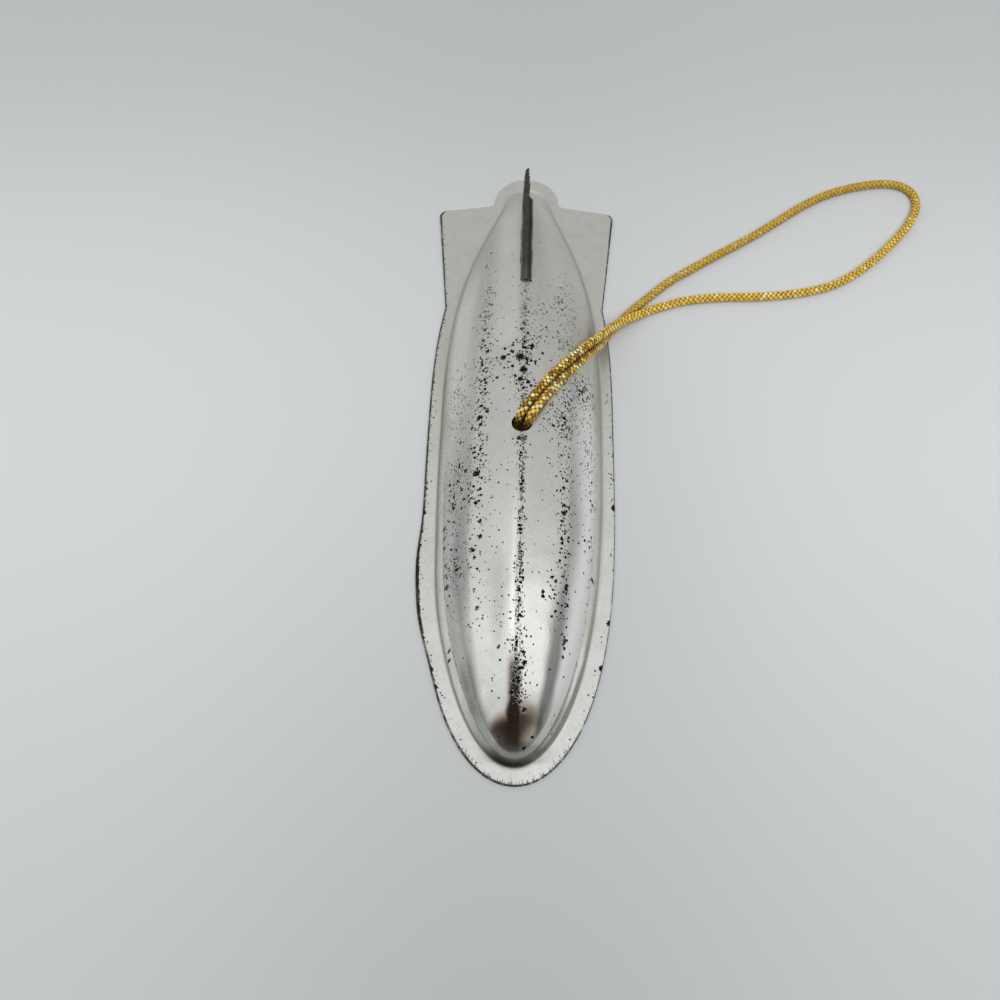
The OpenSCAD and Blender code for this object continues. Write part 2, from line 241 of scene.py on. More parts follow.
tails = []
rng = np.random.default_rng(7)
for label, pts in (("a", [[-0.7, -3.7, 8.5], [-0.8, -3.5, 7], [-1.1, -3.1, 5.5], [-1.6, -2.6, 4.1], [-2.2, -2.25, 3.2]]),
                   ("b", [[0.6, -4.6, 8.5], [0.8, -4.9, 7], [1, -5.4, 5.6], [0.9, -6, 4.3], [0.55, -6.6, 3.4]])):
    tl = relax(spline(pts, 0.06), 8)
    v, f, marks = cord_mesh(tl, 0.74, sides=32)
    # the cut end: yarn ends that stand out a little past the braid
    end, back = tl[-1], tl[-1] - tl[-12]
    back = back / np.linalg.norm(back)
    e1 = np.cross(back, [0, 0, 1.0]); e1 /= np.linalg.norm(e1)
    e2 = np.cross(back, e1)
    v, f, marks = v.tolist(), list(f), marks.tolist()
    for q in range(22):
        a0, rr = 2 * np.pi * q / 22 + rng.uniform(-.1, .1), 0.62 * math.sqrt(rng.uniform(0.1, 1))
        base = end + rr * (math.cos(a0) * e1 + math.sin(a0) * e2) - back * 0.12
        tip = base + back * rng.uniform(0.3, 0.62) + 0.12 * rng.uniform(0, 1) * (math.cos(a0) * e1 + math.sin(a0) * e2)
        w = 0.07
        start = len(v)
        for c, k in ((base, 1.0), ((base + tip) / 2 + 0.03 * e1, 0.95), (tip, 0.7)):
            for m in range(5):
                b0 = 2 * np.pi * m / 5
                v.append((c + w * k * (math.cos(b0) * e1 + math.sin(b0) * e2)).tolist())
                # the yarn ends get a little of the painted shade
                marks.append([0.8, (q * 0.37) % 1.0, 0.2 * m, 0.3])
        for lv in range(2):
            for m in range(5):
                m2 = (m + 1) % 5
                f.append([start + lv * 5 + m, start + lv * 5 + m2, start + lv * 5 + 5 + m2, start + lv * 5 + 5 + m])
        f.append([start + m for m in range(5)][::-1])
        f.append([start + 10 + m for m in range(5)])
    t_ob = mesh_object("cord_tail_" + label, v, f)
    mark(t_ob, marks)
    tails.append(t_ob)
    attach(t_ob, "root")
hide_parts("cord_tails")
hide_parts("cord_tails")

# ---------------------------------------------------------------- the pressed shell
W, HH, NOSE, TAIL, T = 13.5, 12.4, 55.4, 56.2, 0.45
TAIL_R = 4.3
ROUND_Y = TAIL - TAIL_R
FN, RIM = 58.5, 2.35


def half_w(y):
    y = np.asarray(y, float)
    a = W * np.sqrt(np.maximum(0, 1 - np.clip(-y / NOSE, 0, 1) ** 2.7))
    b = TAIL_R + (W - TAIL_R) * (1 - np.clip(y / ROUND_Y, 0, 1) ** 3.2) ** 1.35
    c = np.sqrt(np.maximum(0, TAIL_R ** 2 - np.maximum(0, y - ROUND_Y) ** 2))
    return np.where(y < 0, a, np.where(y < ROUND_Y, b, c))


def ridge_h(y):
    y = np.asarray(y, float)
    return np.where(y < 0, HH * half_w(y) / W, HH * np.maximum(0, 1 - np.clip(y / TAIL, 0, 1) ** 3) ** 1.1)


def section_table(round_off):
    """Height over half width, from the ridge (0) to the base (1)."""
    ridge, pts = [0, 30.5, 55, 90], []
    for k in range(3):
        a0, a1 = math.radians(ridge[k]), math.radians(ridge[k + 1])
        for t in np.linspace(0, 1, 60, endpoint=False):
            ch = np.array([math.cos(a0), math.sin(a0)]) * (1 - t) + np.array([math.cos(a1), math.sin(a1)]) * t
            an = a0 + (a1 - a0) * t
            pts.append(ch * 0.45 + 0.55 * np.array([math.cos(an), math.sin(an)]))
    pts.append(np.array([0, 1.0]))
    pts = np.array(pts)[::-1]
    both = np.vstack([pts[::-1] * [-1, 1], pts[1:]])
    s = np.concatenate([[0], np.cumsum(np.linalg.norm(np.diff(both, axis=0), axis=1))])
    at = np.linspace(0, s[-1], 2401)
    both = np.stack([np.interp(at, s, both[:, k]) for k in range(2)], axis=1)
    reach = 3 * round_off
    k = np.exp(-0.5 * (np.arange(-reach, reach + 1) / round_off) ** 2)
    k /= k.sum()
    soft = np.stack([np.convolve(np.pad(both[:, i], reach, mode="edge"), k, "valid") for i in range(2)], axis=1)
    mix = np.clip((both[:, 1] - 0.12) / 0.15, 0, 1)[:, None]     # only the ridges are softened
    both = both * (1 - mix) + soft * mix
    half = both[1200:]
    return half[:, 0], half[:, 1]


SU, SZ = section_table(18)
NU, NZ = section_table(110)


def fuller(x, y):
    return 0.42 * np.clip(-np.asarray(x, float) / 4, 0, 1) * np.exp(-((y + 31) / 10) ** 2)


def hull_z(x, y):
    h = half_w(y) + fuller(x, y) * np.clip(half_w(y) / 4, 0, 1)
    u = np.abs(x) / np.maximum(h, 1e-6)
    z = np.interp(np.clip(u, 0, 1), SU, SZ, right=0.0)
    nose = np.interp(np.clip(u, 0, 1), NU, NZ, right=0.0)
    blend = np.clip((-y - 30) / 16, 0, 1)
    z = z * (1 - blend) + nose * blend
    return np.where(u < 1, z * ridge_h(y), 0.0)


def outline_x(y, sgn=1):
    """Half width of the flange at y, without its rounded tail corners."""
    y = np.asarray(y, float)
    nose = (W + RIM) * np.sqrt(np.maximum(0, 1 - np.clip(-y / FN, 0, 1) ** 3.25))
    side = half_w(y) + RIM
    plane_t = np.clip((y - 27.6) / (48.75 + 0.15 - 27.6), 0, 1)
    plane = 14.35 + (15.05 + 1.5 * math.cos(math.radians(5.7)) - 14.35) * plane_t
    # the corner, the slanting rear edge, the fillet and the round tail
    cx, cy, r = 15.05, 48.75, 1.5
    corner = cx + np.sqrt(np.maximum(0, r * r - np.maximum(0, y - cy) ** 2))
    slope = math.tan(math.radians(9.2))
    te_x = cx + 0.24 - (y - 50.23) / slope
    fr, tr, tcy = 1.2, 6.0, 52.5
    fcy = 50.23 + (cx + 0.24 - (tr + fr)) * slope + fr / math.cos(math.radians(9.2))
    fcx = math.sqrt((tr + fr) ** 2 - (fcy - tcy) ** 2)
    y_a = fcy - fr * math.cos(math.radians(9.2))          # where the slanting edge meets the fillet
    y_b = tcy + tr * (fcy - tcy) / (tr + fr)              # where the fillet meets the round tail
    fil = fcx - np.sqrt(np.maximum(0, fr * fr - (y - fcy) ** 2))
    x_a = fcx - fr * math.sin(math.radians(9.2)) * 1.0
    arc = np.sqrt(np.maximum(0, tr * tr - (y - tcy) ** 2))
    y_c = cy + r * math.cos(math.radians(9.2))
    x = np.where(y < 0, nose, side)
    x = np.where(y > 27.6, np.minimum(plane, corner), x)
    x = np.where(y > y_c, np.minimum(te_x, corner), x)
    x = np.where(y > y_a, np.where(y < y_b, fil, arc), x)
    # the left edge is hammered outwards near the nose; the rim is a little bowed
    x = x - sgn * 0.13 * np.exp(-((y - 2) / 22) ** 2)
    if sgn < 0:
        x = x + 1.05 * np.exp(-np.abs((y + 28) / 9.8) ** 3)
    return x


def waves(x, y, seed, count, lo, hi):
    g = np.random.default_rng(seed)
    out = np.zeros_like(x)
    for _ in range(count):
        a, lam, ph = g.uniform(0, np.pi), g.uniform(lo, hi), g.uniform(0, 2 * np.pi)
        out += np.sin((x * math.cos(a) + y * math.sin(a)) * 2 * np.pi / lam + ph)
    return out / math.sqrt(count)


# height of the upper face on a fine grid, softened where the press radiused it
GS = 0.1
gx = np.arange(-18.0, 18.001, GS)
gy = np.arange(-60.0, 60.001, GS)
GX, GY = np.meshgrid(gx, gy)
raw = np.maximum(hull_z(GX, GY), 0.0)


def blur(a, sigma):
    k = np.exp(-0.5 * (np.arange(-int(4 * sigma / GS), int(4 * sigma / GS) + 1) * GS / sigma) ** 2)
    k /= k.sum()
    p = len(k) // 2
    a = np.apply_along_axis(lambda m: np.convolve(np.pad(m, p, mode="edge"), k, "valid"), 0, a)
    return np.apply_along_axis(lambda m: np.convolve(np.pad(m, p, mode="edge"), k, "valid"), 1, a)


soft = blur(np.maximum(raw, T), 0.3)
keep = np.clip((raw - 2.6) / 1.6, 0, 1)
keep = keep * keep * (3 - 2 * keep)
top = soft * (1 - keep) + np.maximum(raw, T) * keep
hull_mask = np.clip(raw / 2.5, 0, 1)
# shallow unevenness from the press and from handling
top = top + hull_mask * (0.035 * waves(GX, GY, 3, 14, 9, 26) + 0.010 * waves(GX, GY, 4, 18, 2.5, 6))
dents = [(-6.6, -24.0, 1.6, 2.6, -0.10), (-9.4, -29.0, 1.3, 2.4, -0.12), (-7.2, 8.0, 1.2, 3.0, -0.07), (8.0, -19.0, 1.1, 2.2, -0.08),
         (-9.6, -12.0, 1.6, 4.0, -0.10), (4.4, 16.0, 1.5, 2.5, -0.05), (-4.0, 22.0, 1.4, 2.2, -0.05), (2.9, -33.0, 1.0, 3.0, -0.05)]
for dx, dy, sx, sy, amp in dents:
    top = top + hull_mask * amp * np.exp(-(((GX - dx) / sx) ** 2 + ((GY - dy) / sy) ** 2))
crease = np.exp(-(GX / 0.3) ** 2) * np.clip((24 - GY) / 8, 0, 1) * np.clip((GY + 43) / 5, 0, 1)
top = top + hull_mask * crease * (0.085 + 0.03 * np.sin(GY * 5.1) * np.sin(GY * 2.3 + 1))
top = top + (1 - hull_mask) * 0.02 * (waves(GX, GY, 5, 10, 6, 18) + 1.2)
top = np.maximum(top, T)


def sample(field, x, y):
    fx = np.clip((x - gx[0]) / GS, 0, len(gx) - 1.001)
    fy = np.clip((y - gy[0]) / GS, 0, len(gy) - 1.001)
    ix, iy = fx.astype(int), fy.astype(int)
    tx, ty = fx - ix, fy - iy
    return (field[iy, ix] * (1 - tx) * (1 - ty) + field[iy, ix + 1] * tx * (1 - ty)
            + field[iy + 1, ix] * (1 - tx) * ty + field[iy + 1, ix + 1] * tx * ty)


# rows from nose to tail, crowded where the hull closes
def crowd(lo, hi, centres, coarse, fine, width):
    y, out = lo, [lo]
    while y < hi:
        near = min(abs(y - c) for c in centres)
        y += fine + (coarse - fine) * min(1.0, (near / width) ** 1.0)
        out.append(min(y, hi))
    return np.array(out)


rows = crowd(-FN + 0.004, FN - 0.004, (-NOSE, -FN, 50.2, TAIL, FN), 0.4, 0.1, 2.4)
hull_n, rim_n = 42, 29
v = np.linspace(0, 1, hull_n + 1)
fine_u = np.linspace(0, 1, 2001)
crowding = (1 + 2.6 * np.exp(-(fine_u / 0.05) ** 2) + 0.7 * np.exp(-((fine_u - 0.53) / 0.1) ** 2)
            + 1.4 * np.exp(-((fine_u - 1) / 0.12) ** 2))
total = np.concatenate([[0], np.cumsum((crowding[1:] + crowding[:-1]) / 2)])
hu = np.interp(v * total[-1], total, fine_u)
verts, cols = [], 2 * (hull_n + rim_n) + 1
for y in rows:
    h = float(half_w(y))
    h = math.sqrt(h * h + 0.5 ** 2) + 0.45
    xr, xl = float(outline_x(y, 1)), float(outline_x(y, -1))
    for sgn, xo in ((-1, xl), (1, xr)):
        hh = min(h, 0.8 * xo)
        inner = hu * hh
        q = np.linspace(0, 1, rim_n + 1)[1:]
        outer = hh + (xo - hh) * (0.35 * q + 0.65 * q * q)
        half = np.concatenate([inner, outer])
        if sgn < 0:
            rowx = -half[:0:-1]
        else:
            rowx = np.concatenate([rowx, half])
    verts.append(np.stack([rowx, np.full(cols, y)], axis=1))
plan = np.array(verts)
R = len(rows)
PX, PY = plan[..., 0], plan[..., 1]
PZ = sample(top, PX, PY)
upper = np.stack([PX, PY, PZ], axis=2)
# the under face lies one sheet thickness inside, measured square to the sheet
dzdx = (sample(top, PX + 0.12, PY) - sample(top, PX - 0.12, PY)) / 0.24
dzdy = (sample(top, PX, PY + 0.12) - sample(top, PX, PY - 0.12)) / 0.24
nn = np.stack([-dzdx, -dzdy, np.ones_like(dzdx)], axis=2)
nn /= np.linalg.norm(nn, axis=2)[..., None]
rimmed = np.clip((PZ - T) / 1.2, 0, 1)[..., None]
lower = upper - T * (nn * rimmed + np.array([0, 0, 1.0]) * (1 - rimmed))
lower[..., 2] = np.maximum(lower[..., 2], 0.0)
allv = np.concatenate([upper.reshape(-1, 3), lower.reshape(-1, 3)])
off = R * cols
faces = []
for i in range(R - 1):
    for j in range(cols - 1):
        a, b, c, d = i * cols + j, i * cols + j + 1, (i + 1) * cols + j + 1, (i + 1) * cols + j
        faces.append([a, b, c, d])
        faces.append([off + a, off + d, off + c, off + b])
for i in range(R - 1):
    for j, flip in ((0, False), (cols - 1, True)):
        a, d = i * cols + j, (i + 1) * cols + j
        q = [a, d, off + d, off + a]
        faces.append(q[::-1] if flip else q)
for j in range(cols - 1):
    for i, flip in ((0, True), (R - 1, False)):
        a, b = i * cols + j, i * cols + j + 1
        q = [a, b, off + b, off + a]
        faces.append(q[::-1] if flip else q)
faces = [f[::-1] if k >= 2 * (R - 1) * (cols - 1) else f for k, f in enumerate(faces)]
shell = mesh_object("hull_shell_pressed", allv, faces)


def cut(ob, name, make):
    me = bpy.data.meshes.new(name)
    bm = bmesh.new()
    make(bm)
    bm.to_mesh(me)
    bm.free()
    tool = link(bpy.data.objects.new(name, me))
    mod = ob.modifiers.new(name, "BOOLEAN")
    mod.operation, mod.solver, mod.object = "DIFFERENCE", "EXACT", tool
    bpy.context.view_layer.update()
    done = bpy.data.meshes.new_from_object(ob.evaluated_get(bpy.context.evaluated_depsgraph_get()))
    ob.modifiers.clear()
    old = ob.data
    ob.data = done
    bpy.data.meshes.remove(old)
    bpy.data.objects.remove(tool)
    bpy.data.meshes.remove(me)


def hole_tool(bm):
    bmesh.ops.create_cone(bm, cap_ends=True, segments=96, radius1=1.65 * MM, radius2=1.65 * MM, depth=8 * MM,
                          matrix=Matrix.Translation(Vector((0, -4, 12.4)) * MM))


def slot_tool(bm):
    for y0, y1 in ((29.7, 33.5), (36.5, 40.3)):
        bmesh.ops.create_cube(bm, size=1.0, matrix=Matrix.Translation(Vector((0.15, (y0 + y1) / 2, 9)) * MM)
                              @ Matrix.Diagonal((2.2 * MM, (y1 - y0) * MM, 12 * MM, 1)))


cut(shell, "hole_tool", hole_tool)
cut(shell, "slot_tool", slot_tool)
me = shell.data
n = len(me.vertices)
co = np.empty(n * 3, np.float32)
me.vertices.foreach_get("co", co)
co = co.reshape(-1, 3) / MM
X, Y, Z = co[:, 0].astype(float), co[:, 1].astype(float), co[:, 2].astype(float)
for p in me.polygons:
    p.use_smooth = True
me.set_sharp_from_angle(angle=math.radians(42))


def paint(name, values):
    a = me.attributes.get(name) or me.attributes.new(name, "FLOAT", "POINT")
    a.data.foreach_set("value", np.clip(values, 0, 4).astype(np.float32))


def spot(x, y, rx, ry=None, turn=0.0, amp=1.0):
    ry = ry or rx
    c, s = math.cos(math.radians(turn)), math.sin(math.radians(turn))
    a, b = (X - x) * c + (Y - y) * s, -(X - x) * s + (Y - y) * c
    return amp * np.exp(-((a / rx) ** 2 + (b / ry) ** 2))


def step(a, lo, hi):
    t = np.clip((a - lo) / (hi - lo), 0, 1)
    return t * t * (3 - 2 * t)


def hump(a, lo, lo2, hi2, hi):
    return step(a, lo, lo2) * (1 - step(a, hi2, hi))


def far_from(outline):
    """Distance in the XY plane from every vertex to an outline of points."""
    tree = kdtree.KDTree(len(outline))
    for i, q in enumerate(outline):
        tree.insert((q[0], q[1], 0.0), i)
    tree.balance()
    return np.array([tree.find((a, b, 0.0))[2] for a, b in zip(X, Y)])


yy = np.concatenate([-NOSE * np.cos(np.linspace(0, np.pi / 2, 500)), TAIL * np.sin(np.linspace(0, np.pi / 2, 500))])
base = np.concatenate([np.stack([half_w(yy), yy], 1), np.stack([-half_w(yy) - fuller(np.full(1000, -9.0), yy), yy], 1)])
inside = (np.abs(X) < half_w(Y) + fuller(X, Y)) & (Y > -NOSE) & (Y < TAIL)
base_d = far_from(base) * np.where(inside, -1, 1)            # outside the hull's base is positive
yy = np.concatenate([-FN * np.cos(np.linspace(0, np.pi / 2, 500)), np.linspace(0, 49.5, 300), np.linspace(49.5, FN, 700)])
edge = far_from(np.concatenate([np.stack([outline_x(yy, 1), yy], 1), np.stack([-outline_x(yy, -1), yy], 1)]))
rear = np.clip((Y - 49.6) / 0.8, 0, 1)
worn_right = 1 - (0.4 - 0.28 * np.clip((Y + 12) / 18, 0, 1)) * np.clip(X / 5, 0, 1) * np.clip((Y + 56) / 10, 0, 1)
thick = 0.2 + 0.1 * np.clip(0.5 - X / 6, 0, 1) * np.clip((18 - Y) / 8, 0, 1)
on_planes = step(Y, 14, 22)
cut_line = np.maximum(np.exp(-(edge / thick) ** 2), 0.46 * on_planes * np.exp(-(edge / 0.42) ** 2))
paint("edge", cut_line * (1 - 0.85 * rear) * worn_right)
paint("edge_wide", np.exp(-(edge / 0.75) ** 2) * (1 - rear) * np.where(X > 0, 0.8, 1.25) * (1 - 0.45 * np.clip((-Y - 44) / 6, 0, 1)))
burr = (np.exp(-np.abs((Y + 29.5) / 7.6) ** 3) * 1.2 + 0.56 * np.exp(-np.abs((Y + 12) / 18) ** 4)) * (X < 0)
paint("burr", np.exp(-(edge / 0.55) ** 2) * burr)
paint("drawn", np.clip((-Y - 40) / 10, 0, 1) * np.clip((base_d - 0.2) / 0.4, 0, 1))
paint("nose_rim", np.clip((-Y - 46) / 9, 0, 1) * np.exp(-(edge / 0.85) ** 2))
for name, values in (("edge_far", edge), ("around", np.arctan2(X, -Y - 38.0) * 18.0)):
    me.attributes.new(name, "FLOAT", "POINT").data.foreach_set("value", values.astype(np.float32))
# how matt the sheet has gone: bright at the nose, dull at the tail
paint("dull", np.clip((Y + 26) / 44, 0, 1) ** 1.1)
# painted shade with some dirt in the crease at the hull's foot: stronger on the left flank and towards the nose, and a
# wider, fainter band towards the tail
left_side = np.clip(0.5 - X / 6, 0, 1)
strength = (0.34 + 0.66 * left_side + 0.5 * np.clip((-Y - 24) / 14, 0, 1) * (1 - left_side)) * np.clip((52 - Y) / 14, 0.22, 1)
strength = strength * (1 + 0.2 * np.clip((-Y - 38) / 8, 0, 1))
aft = step(Y, 8, 22)
crease_line = np.exp(-((base_d - 0.18) / 0.23) ** 2) * strength * (1 - 0.75 * aft)
paint("groove", np.maximum(crease_line, 0.3 * aft * np.exp(-((base_d + 0.25) / 0.75) ** 2) * np.clip((54 - Y) / 10, 0, 1)))
U = X / np.maximum(half_w(Y), 0.3)                             # -1 to 1 across the hull
# painted shade, with some dulling, darkens the left flank and the nose's foot; painted highlights brighten the right
# flank, stretches of the left one, the crest and parts of the tail
tarnish_and_shade = 0.38 * hump(-U, 0.7, 0.77, 0.9, 0.95) * hump(Y, -47, -38, -14, -4)
tarnish_and_shade = np.maximum(tarnish_and_shade, 0.9 * hump(-U, 0.62, 0.74, 0.84, 0.92) * hump(Y, -53, -48, -45, -38))
tarnish_and_shade = np.maximum(tarnish_and_shade, 0.45 * hump(-U, 0.6, 0.7, 0.95, 1.0) * hump(Y, -56, -52, -48, -45))
tarnish_and_shade = np.maximum(tarnish_and_shade, 0.6 * np.exp(-(X / 4.6) ** 4) * hump(-Y, 52.4, 53.2, 54.8, 55.4))
paint("tarnish_and_shade", tarnish_and_shade)
painted_sheen = 0.84 * hump(U, 0.56, 0.74, 0.97, 1.02) * hump(Y, -52, -44, -2, 14)
painted_sheen = np.maximum(painted_sheen, 0.35 * hump(U, 0.15, 0.5, 0.97, 1.02) * step(Y, 10, 30))
painted_sheen = np.maximum(painted_sheen, 0.5 * hump(-U, 0.6, 0.75, 0.97, 1.02) * hump(Y, -2, 5, 22, 36))
painted_sheen = np.maximum(painted_sheen, 0.9 * hump(-X, 0.0, 0.3, 0.8, 1.5) * hump(Y, -42, -36, -24, -14))
painted_sheen = np.maximum(painted_sheen, 0.8 * hump(np.abs(U), 0.88, 0.93, 0.97, 1.02) * hump(Y, -46, -34, -6, 4))
painted_sheen = np.maximum(painted_sheen, 0.5 * hump(-X, 0.4, 2.0, 3.2, 6.5) * hump(Y, 24, 36, 42, 54))
painted_sheen = np.maximum(painted_sheen, 0.3 * hump(-X, 0.6, 1.6, 3.6, 6.5) * hump(Y, 8, 14, 36, 40))
painted_sheen = np.maximum(painted_sheen, 0.35 * hump(-X, 0.5, 1.4, 3.4, 4.8) * hump(Y, -31, -27, -21, -15))
painted_sheen = np.maximum(painted_sheen, 0.4 * hump(-X, 3.8, 4.8, 5.8, 6.6) * hump(Y, -49.4, -48.2, -46.6, -45))
paint("painted_sheen", painted_sheen)
paint("sleek", step(-Y, 36, 44))
at_nose = np.clip((-Y - 49.5) / 4.0, 0, 1)
# painted shade with some dirt: a dark band round the hull's foot at the nose
paint("foot", np.maximum(np.exp(-np.abs((base_d - 0.03) / 0.68) ** 3), 0.29 * np.exp(-((base_d + 1.1) / 0.9) ** 2)) * at_nose * (0.2 + 0.8 * np.exp(-((X + 0.6) / 3.6) ** 4)))
stain = spot(12.6, 3.5, 1.1, 7.0) * 0.9 + spot(0.2, -6.2, 1.6, 0.7) + spot(-14.2, 12.0, 1.2, 14.0) * 0.4
paint("stain", stain)
flange = np.clip((base_d + 0.1) / 0.3, 0, 1)

# pits along the ridges, in clusters. "fine" are specks, "coarse" larger ones.
def band(x0, width, y0, length, amp=1.0):
    return amp * np.exp(-((X - x0) / width) ** 2) * np.exp(-np.abs((Y - y0) / length) ** 3)


coarse = (band(0.05, 0.5, 10, 16, 0.95) + band(0.2, 0.34, -22, 24, 1.7) + spot(0.5, -41.5, 0.6, 5.0) * 2.0 + spot(-0.2, -46.5, 0.6, 2.5) * 0.8
          + band(-6.4, 0.75, 14, 14, 0.75) + band(-6.8, 0.9, -12, 14, 0.6)
          + band(6.9, 0.6, -22, 17, 0.85) + spot(5.6, -31, 1.3, 2.6) * 0.8
          + spot(-0.8, 9, 2.6, 2.6) * 0.7 + spot(0.4, 4, 1.2, 3.5) * 0.7 + spot(9.6, 4.8, 1.8, 2.0) * 0.7
          + spot(6.4, -1.8, 1.4, 2.4) * 0.7 + spot(-10.0, -14, 1.1, 5.5) * 0.65 + spot(-9.9, -27.5, 1.2, 3.0) * 0.6
          + spot(6.4, 21.5, 1.4, 2.6) * 0.5 + spot(2.8, 18.7, 1.2, 2.0) * 0.35 + spot(11.0, -22, 0.8, 7) * 0.3)
fine = (band(0, 0.9, 8, 18, 0.9) + band(0.2, 0.55, -24, 22, 1.0) + band(-6.4, 1.2, 8, 20, 0.75) + band(-7.4, 1.5, -16, 16, 0.5)
        + band(7.2, 1.4, -8, 20, 0.65) + band(6.4, 2.0, 20, 8, 0.6) + spot(-10.4, 3.5, 1.6, 4.5) * 1.2
        + spot(10.0, 4.5, 2.2, 3.8) * 1.5 + spot(6.4, -2, 2.2, 4.0) * 1.0 + spot(11.2, -8, 1.0, 6.0) * 0.8
        + spot(0.3, -43, 0.95, 6.0) * 1.1 + spot(0.2, -44, 2.4, 6.0) * 0.2 + spot(2.6, 14, 3.5, 5.0) * 0.35 + spot(-3.5, 8, 3.5, 2.4) * 0.4
        + spot(-10.2, -14, 1.5, 6.0) * 0.8 + spot(-9.8, -27, 1.5, 4.0) * 0.8 + spot(-3.2, -35, 3.0, 4.0) * 0.2
        + 0.05 * np.exp(-((Y + 8) / 42) ** 4) * np.exp(-(X / 12.2) ** 6))
on_hull = np.clip((-base_d - 0.3) / 0.8, 0, 1)
on_hull = on_hull * (1 - 0.6 * step(-Y, 43.6, 45.4) * np.exp(-((X + 0.7) / 0.95) ** 4)) * (1 - 0.9 * step(-Y, 47.2, 48.6) * (np.abs(X) < 5))
paint("crest", (band(0.15, 0.3, -19, 23, 1.0) * np.clip((-4.6 - Y) / 2, 0, 1) + band(0.1, 0.45, 11, 11, 0.6)) * on_hull)
paint("coarse", coarse * on_hull)
paint("fine", fine * on_hull + flange * 0.16 * np.exp(-((np.abs(Y + 20)) / 38) ** 4) * (edge < 1.2))
blots = np.zeros(n)
for bx, by, br in ((-3.3, 8.8, 0.62), (-1.9, 9.9, 0.42), (-0.6, 8.6, 0.85), (0.5, 8.2, 0.45), (1.4, 11.0, 0.52), (0.7, 13.5, 0.34),
                   (-0.1, 6.0, 0.66), (-0.5, 4.2, 0.5), (0.1, 2.5, 0.36), (-0.5, -6.9, 0.42), (0.7, -6.6, 0.3), (0.0, 22.8, 0.3),
                   (0.1, 18.7, 0.42), (0, 15.6, 0.4), (-5.8, 23.4, 0.3), (-5.9, 20.6, 0.3), (-6.6, 15.2, 0.42), (-6.8, 8.0, 0.42),
                   (-6.8, -2.2, 0.55), (-6.6, -3.6, 0.45), (-7.5, -8.5, 0.34), (-7.0, -12.3, 0.62), (-6.1, -20.6, 0.42),
                   (-6.0, -23.1, 0.46), (-7.1, -25.2, 0.5), (-4.3, -16.9, 0.34), (-10.4, -17.1, 0.4), (-10.9, -29.8, 0.42),
                   (-10.2, -38.9, 0.34), (-10.2, -40.2, 0.34), (-6.0, -34.3, 0.34), (-2.6, -40.2, 0.34), (6.8, -18.8, 0.5),
                   (6.5, -20.2, 0.4), (6.2, -26.7, 0.36), (7.2, -30.8, 0.42), (7.4, -33.2, 0.36), (7.1, -38.4, 0.42), (11.6, -27.2, 0.42),
                   (11.6, -15.2, 0.3), (9.2, -22.8, 0.34), (9.7, 4.5, 0.42), (6.4, 21.8, 0.36), (1.3, -48.8, 0.46), (2.6, -52.1, 0.3),
                   (-2.2, -52.3, 0.3), (1.4, -53.6, 0.36), (0.2, -44.6, 0.42), (-0.6, -46.6, 0.46), (0.6, -47.8, 0.42),
                   (4.9, -43.0, 0.3), (-0.3, -45.0, 0.4), (1.2, -42.4, 0.46), (1.0, -41.0, 0.4), (0.3, -43.3, 0.36)):
    blots = np.maximum(blots, spot(bx, by, br * 1.35, br * 1.35))
# a row of short pits along the left foot, and chips along the cut edge
for cy, cl in ((-19.6, 0.5), (-21.3, 0.5), (-23.1, 0.5), (-26.1, 0.4), (-27.8, 0.35), (-29.6, 0.4), (-32.6, 0.35)):
    blots = np.maximum(blots, 1.12 * np.exp(-((U + 0.906) / 0.025) ** 2 - ((Y - cy) / cl) ** 2))
for cy, cl, sgn in ((-10.2, 0.4, -1), (-14.6, 0.5, -1), (-18.0, 0.4, -1), (-20.6, 0.4, -1), (-36.2, 0.3, -1), (-41.2, 0.5, -1),
                    (-44.0, 0.4, -1), (-12.8, 0.6, 1), (-33.0, 0.4, 1), (-40.3, 0.4, 1)):
    blots = np.maximum(blots, 1.35 * np.exp(-((Y - cy) / (cl + 0.15)) ** 2 - (edge / 0.7) ** 2) * (X * sgn > 0))
paint("blots", blots)
paint("hatch", spot(5.4, -31.0, 1.7, 2.8) + spot(6.8, -22.0, 1.2, 7.0) * 0.7 + spot(3.2, -17.0, 1.6, 1.8) * 0.8
      + spot(7.2, -36, 1.0, 3.0) * 0.7 + spot(9.2, -22.8, 1.2, 1.6) * 0.7)

# ---------------------------------------------------------------- the folded fin
FW, FX, F0, SLOPE, RE, LE = 2.0, 0.15, 25.4, math.tan(math.radians(7.5)), 41.9, 47.8


def ridge_z(y):
    return float(ridge_h(y))


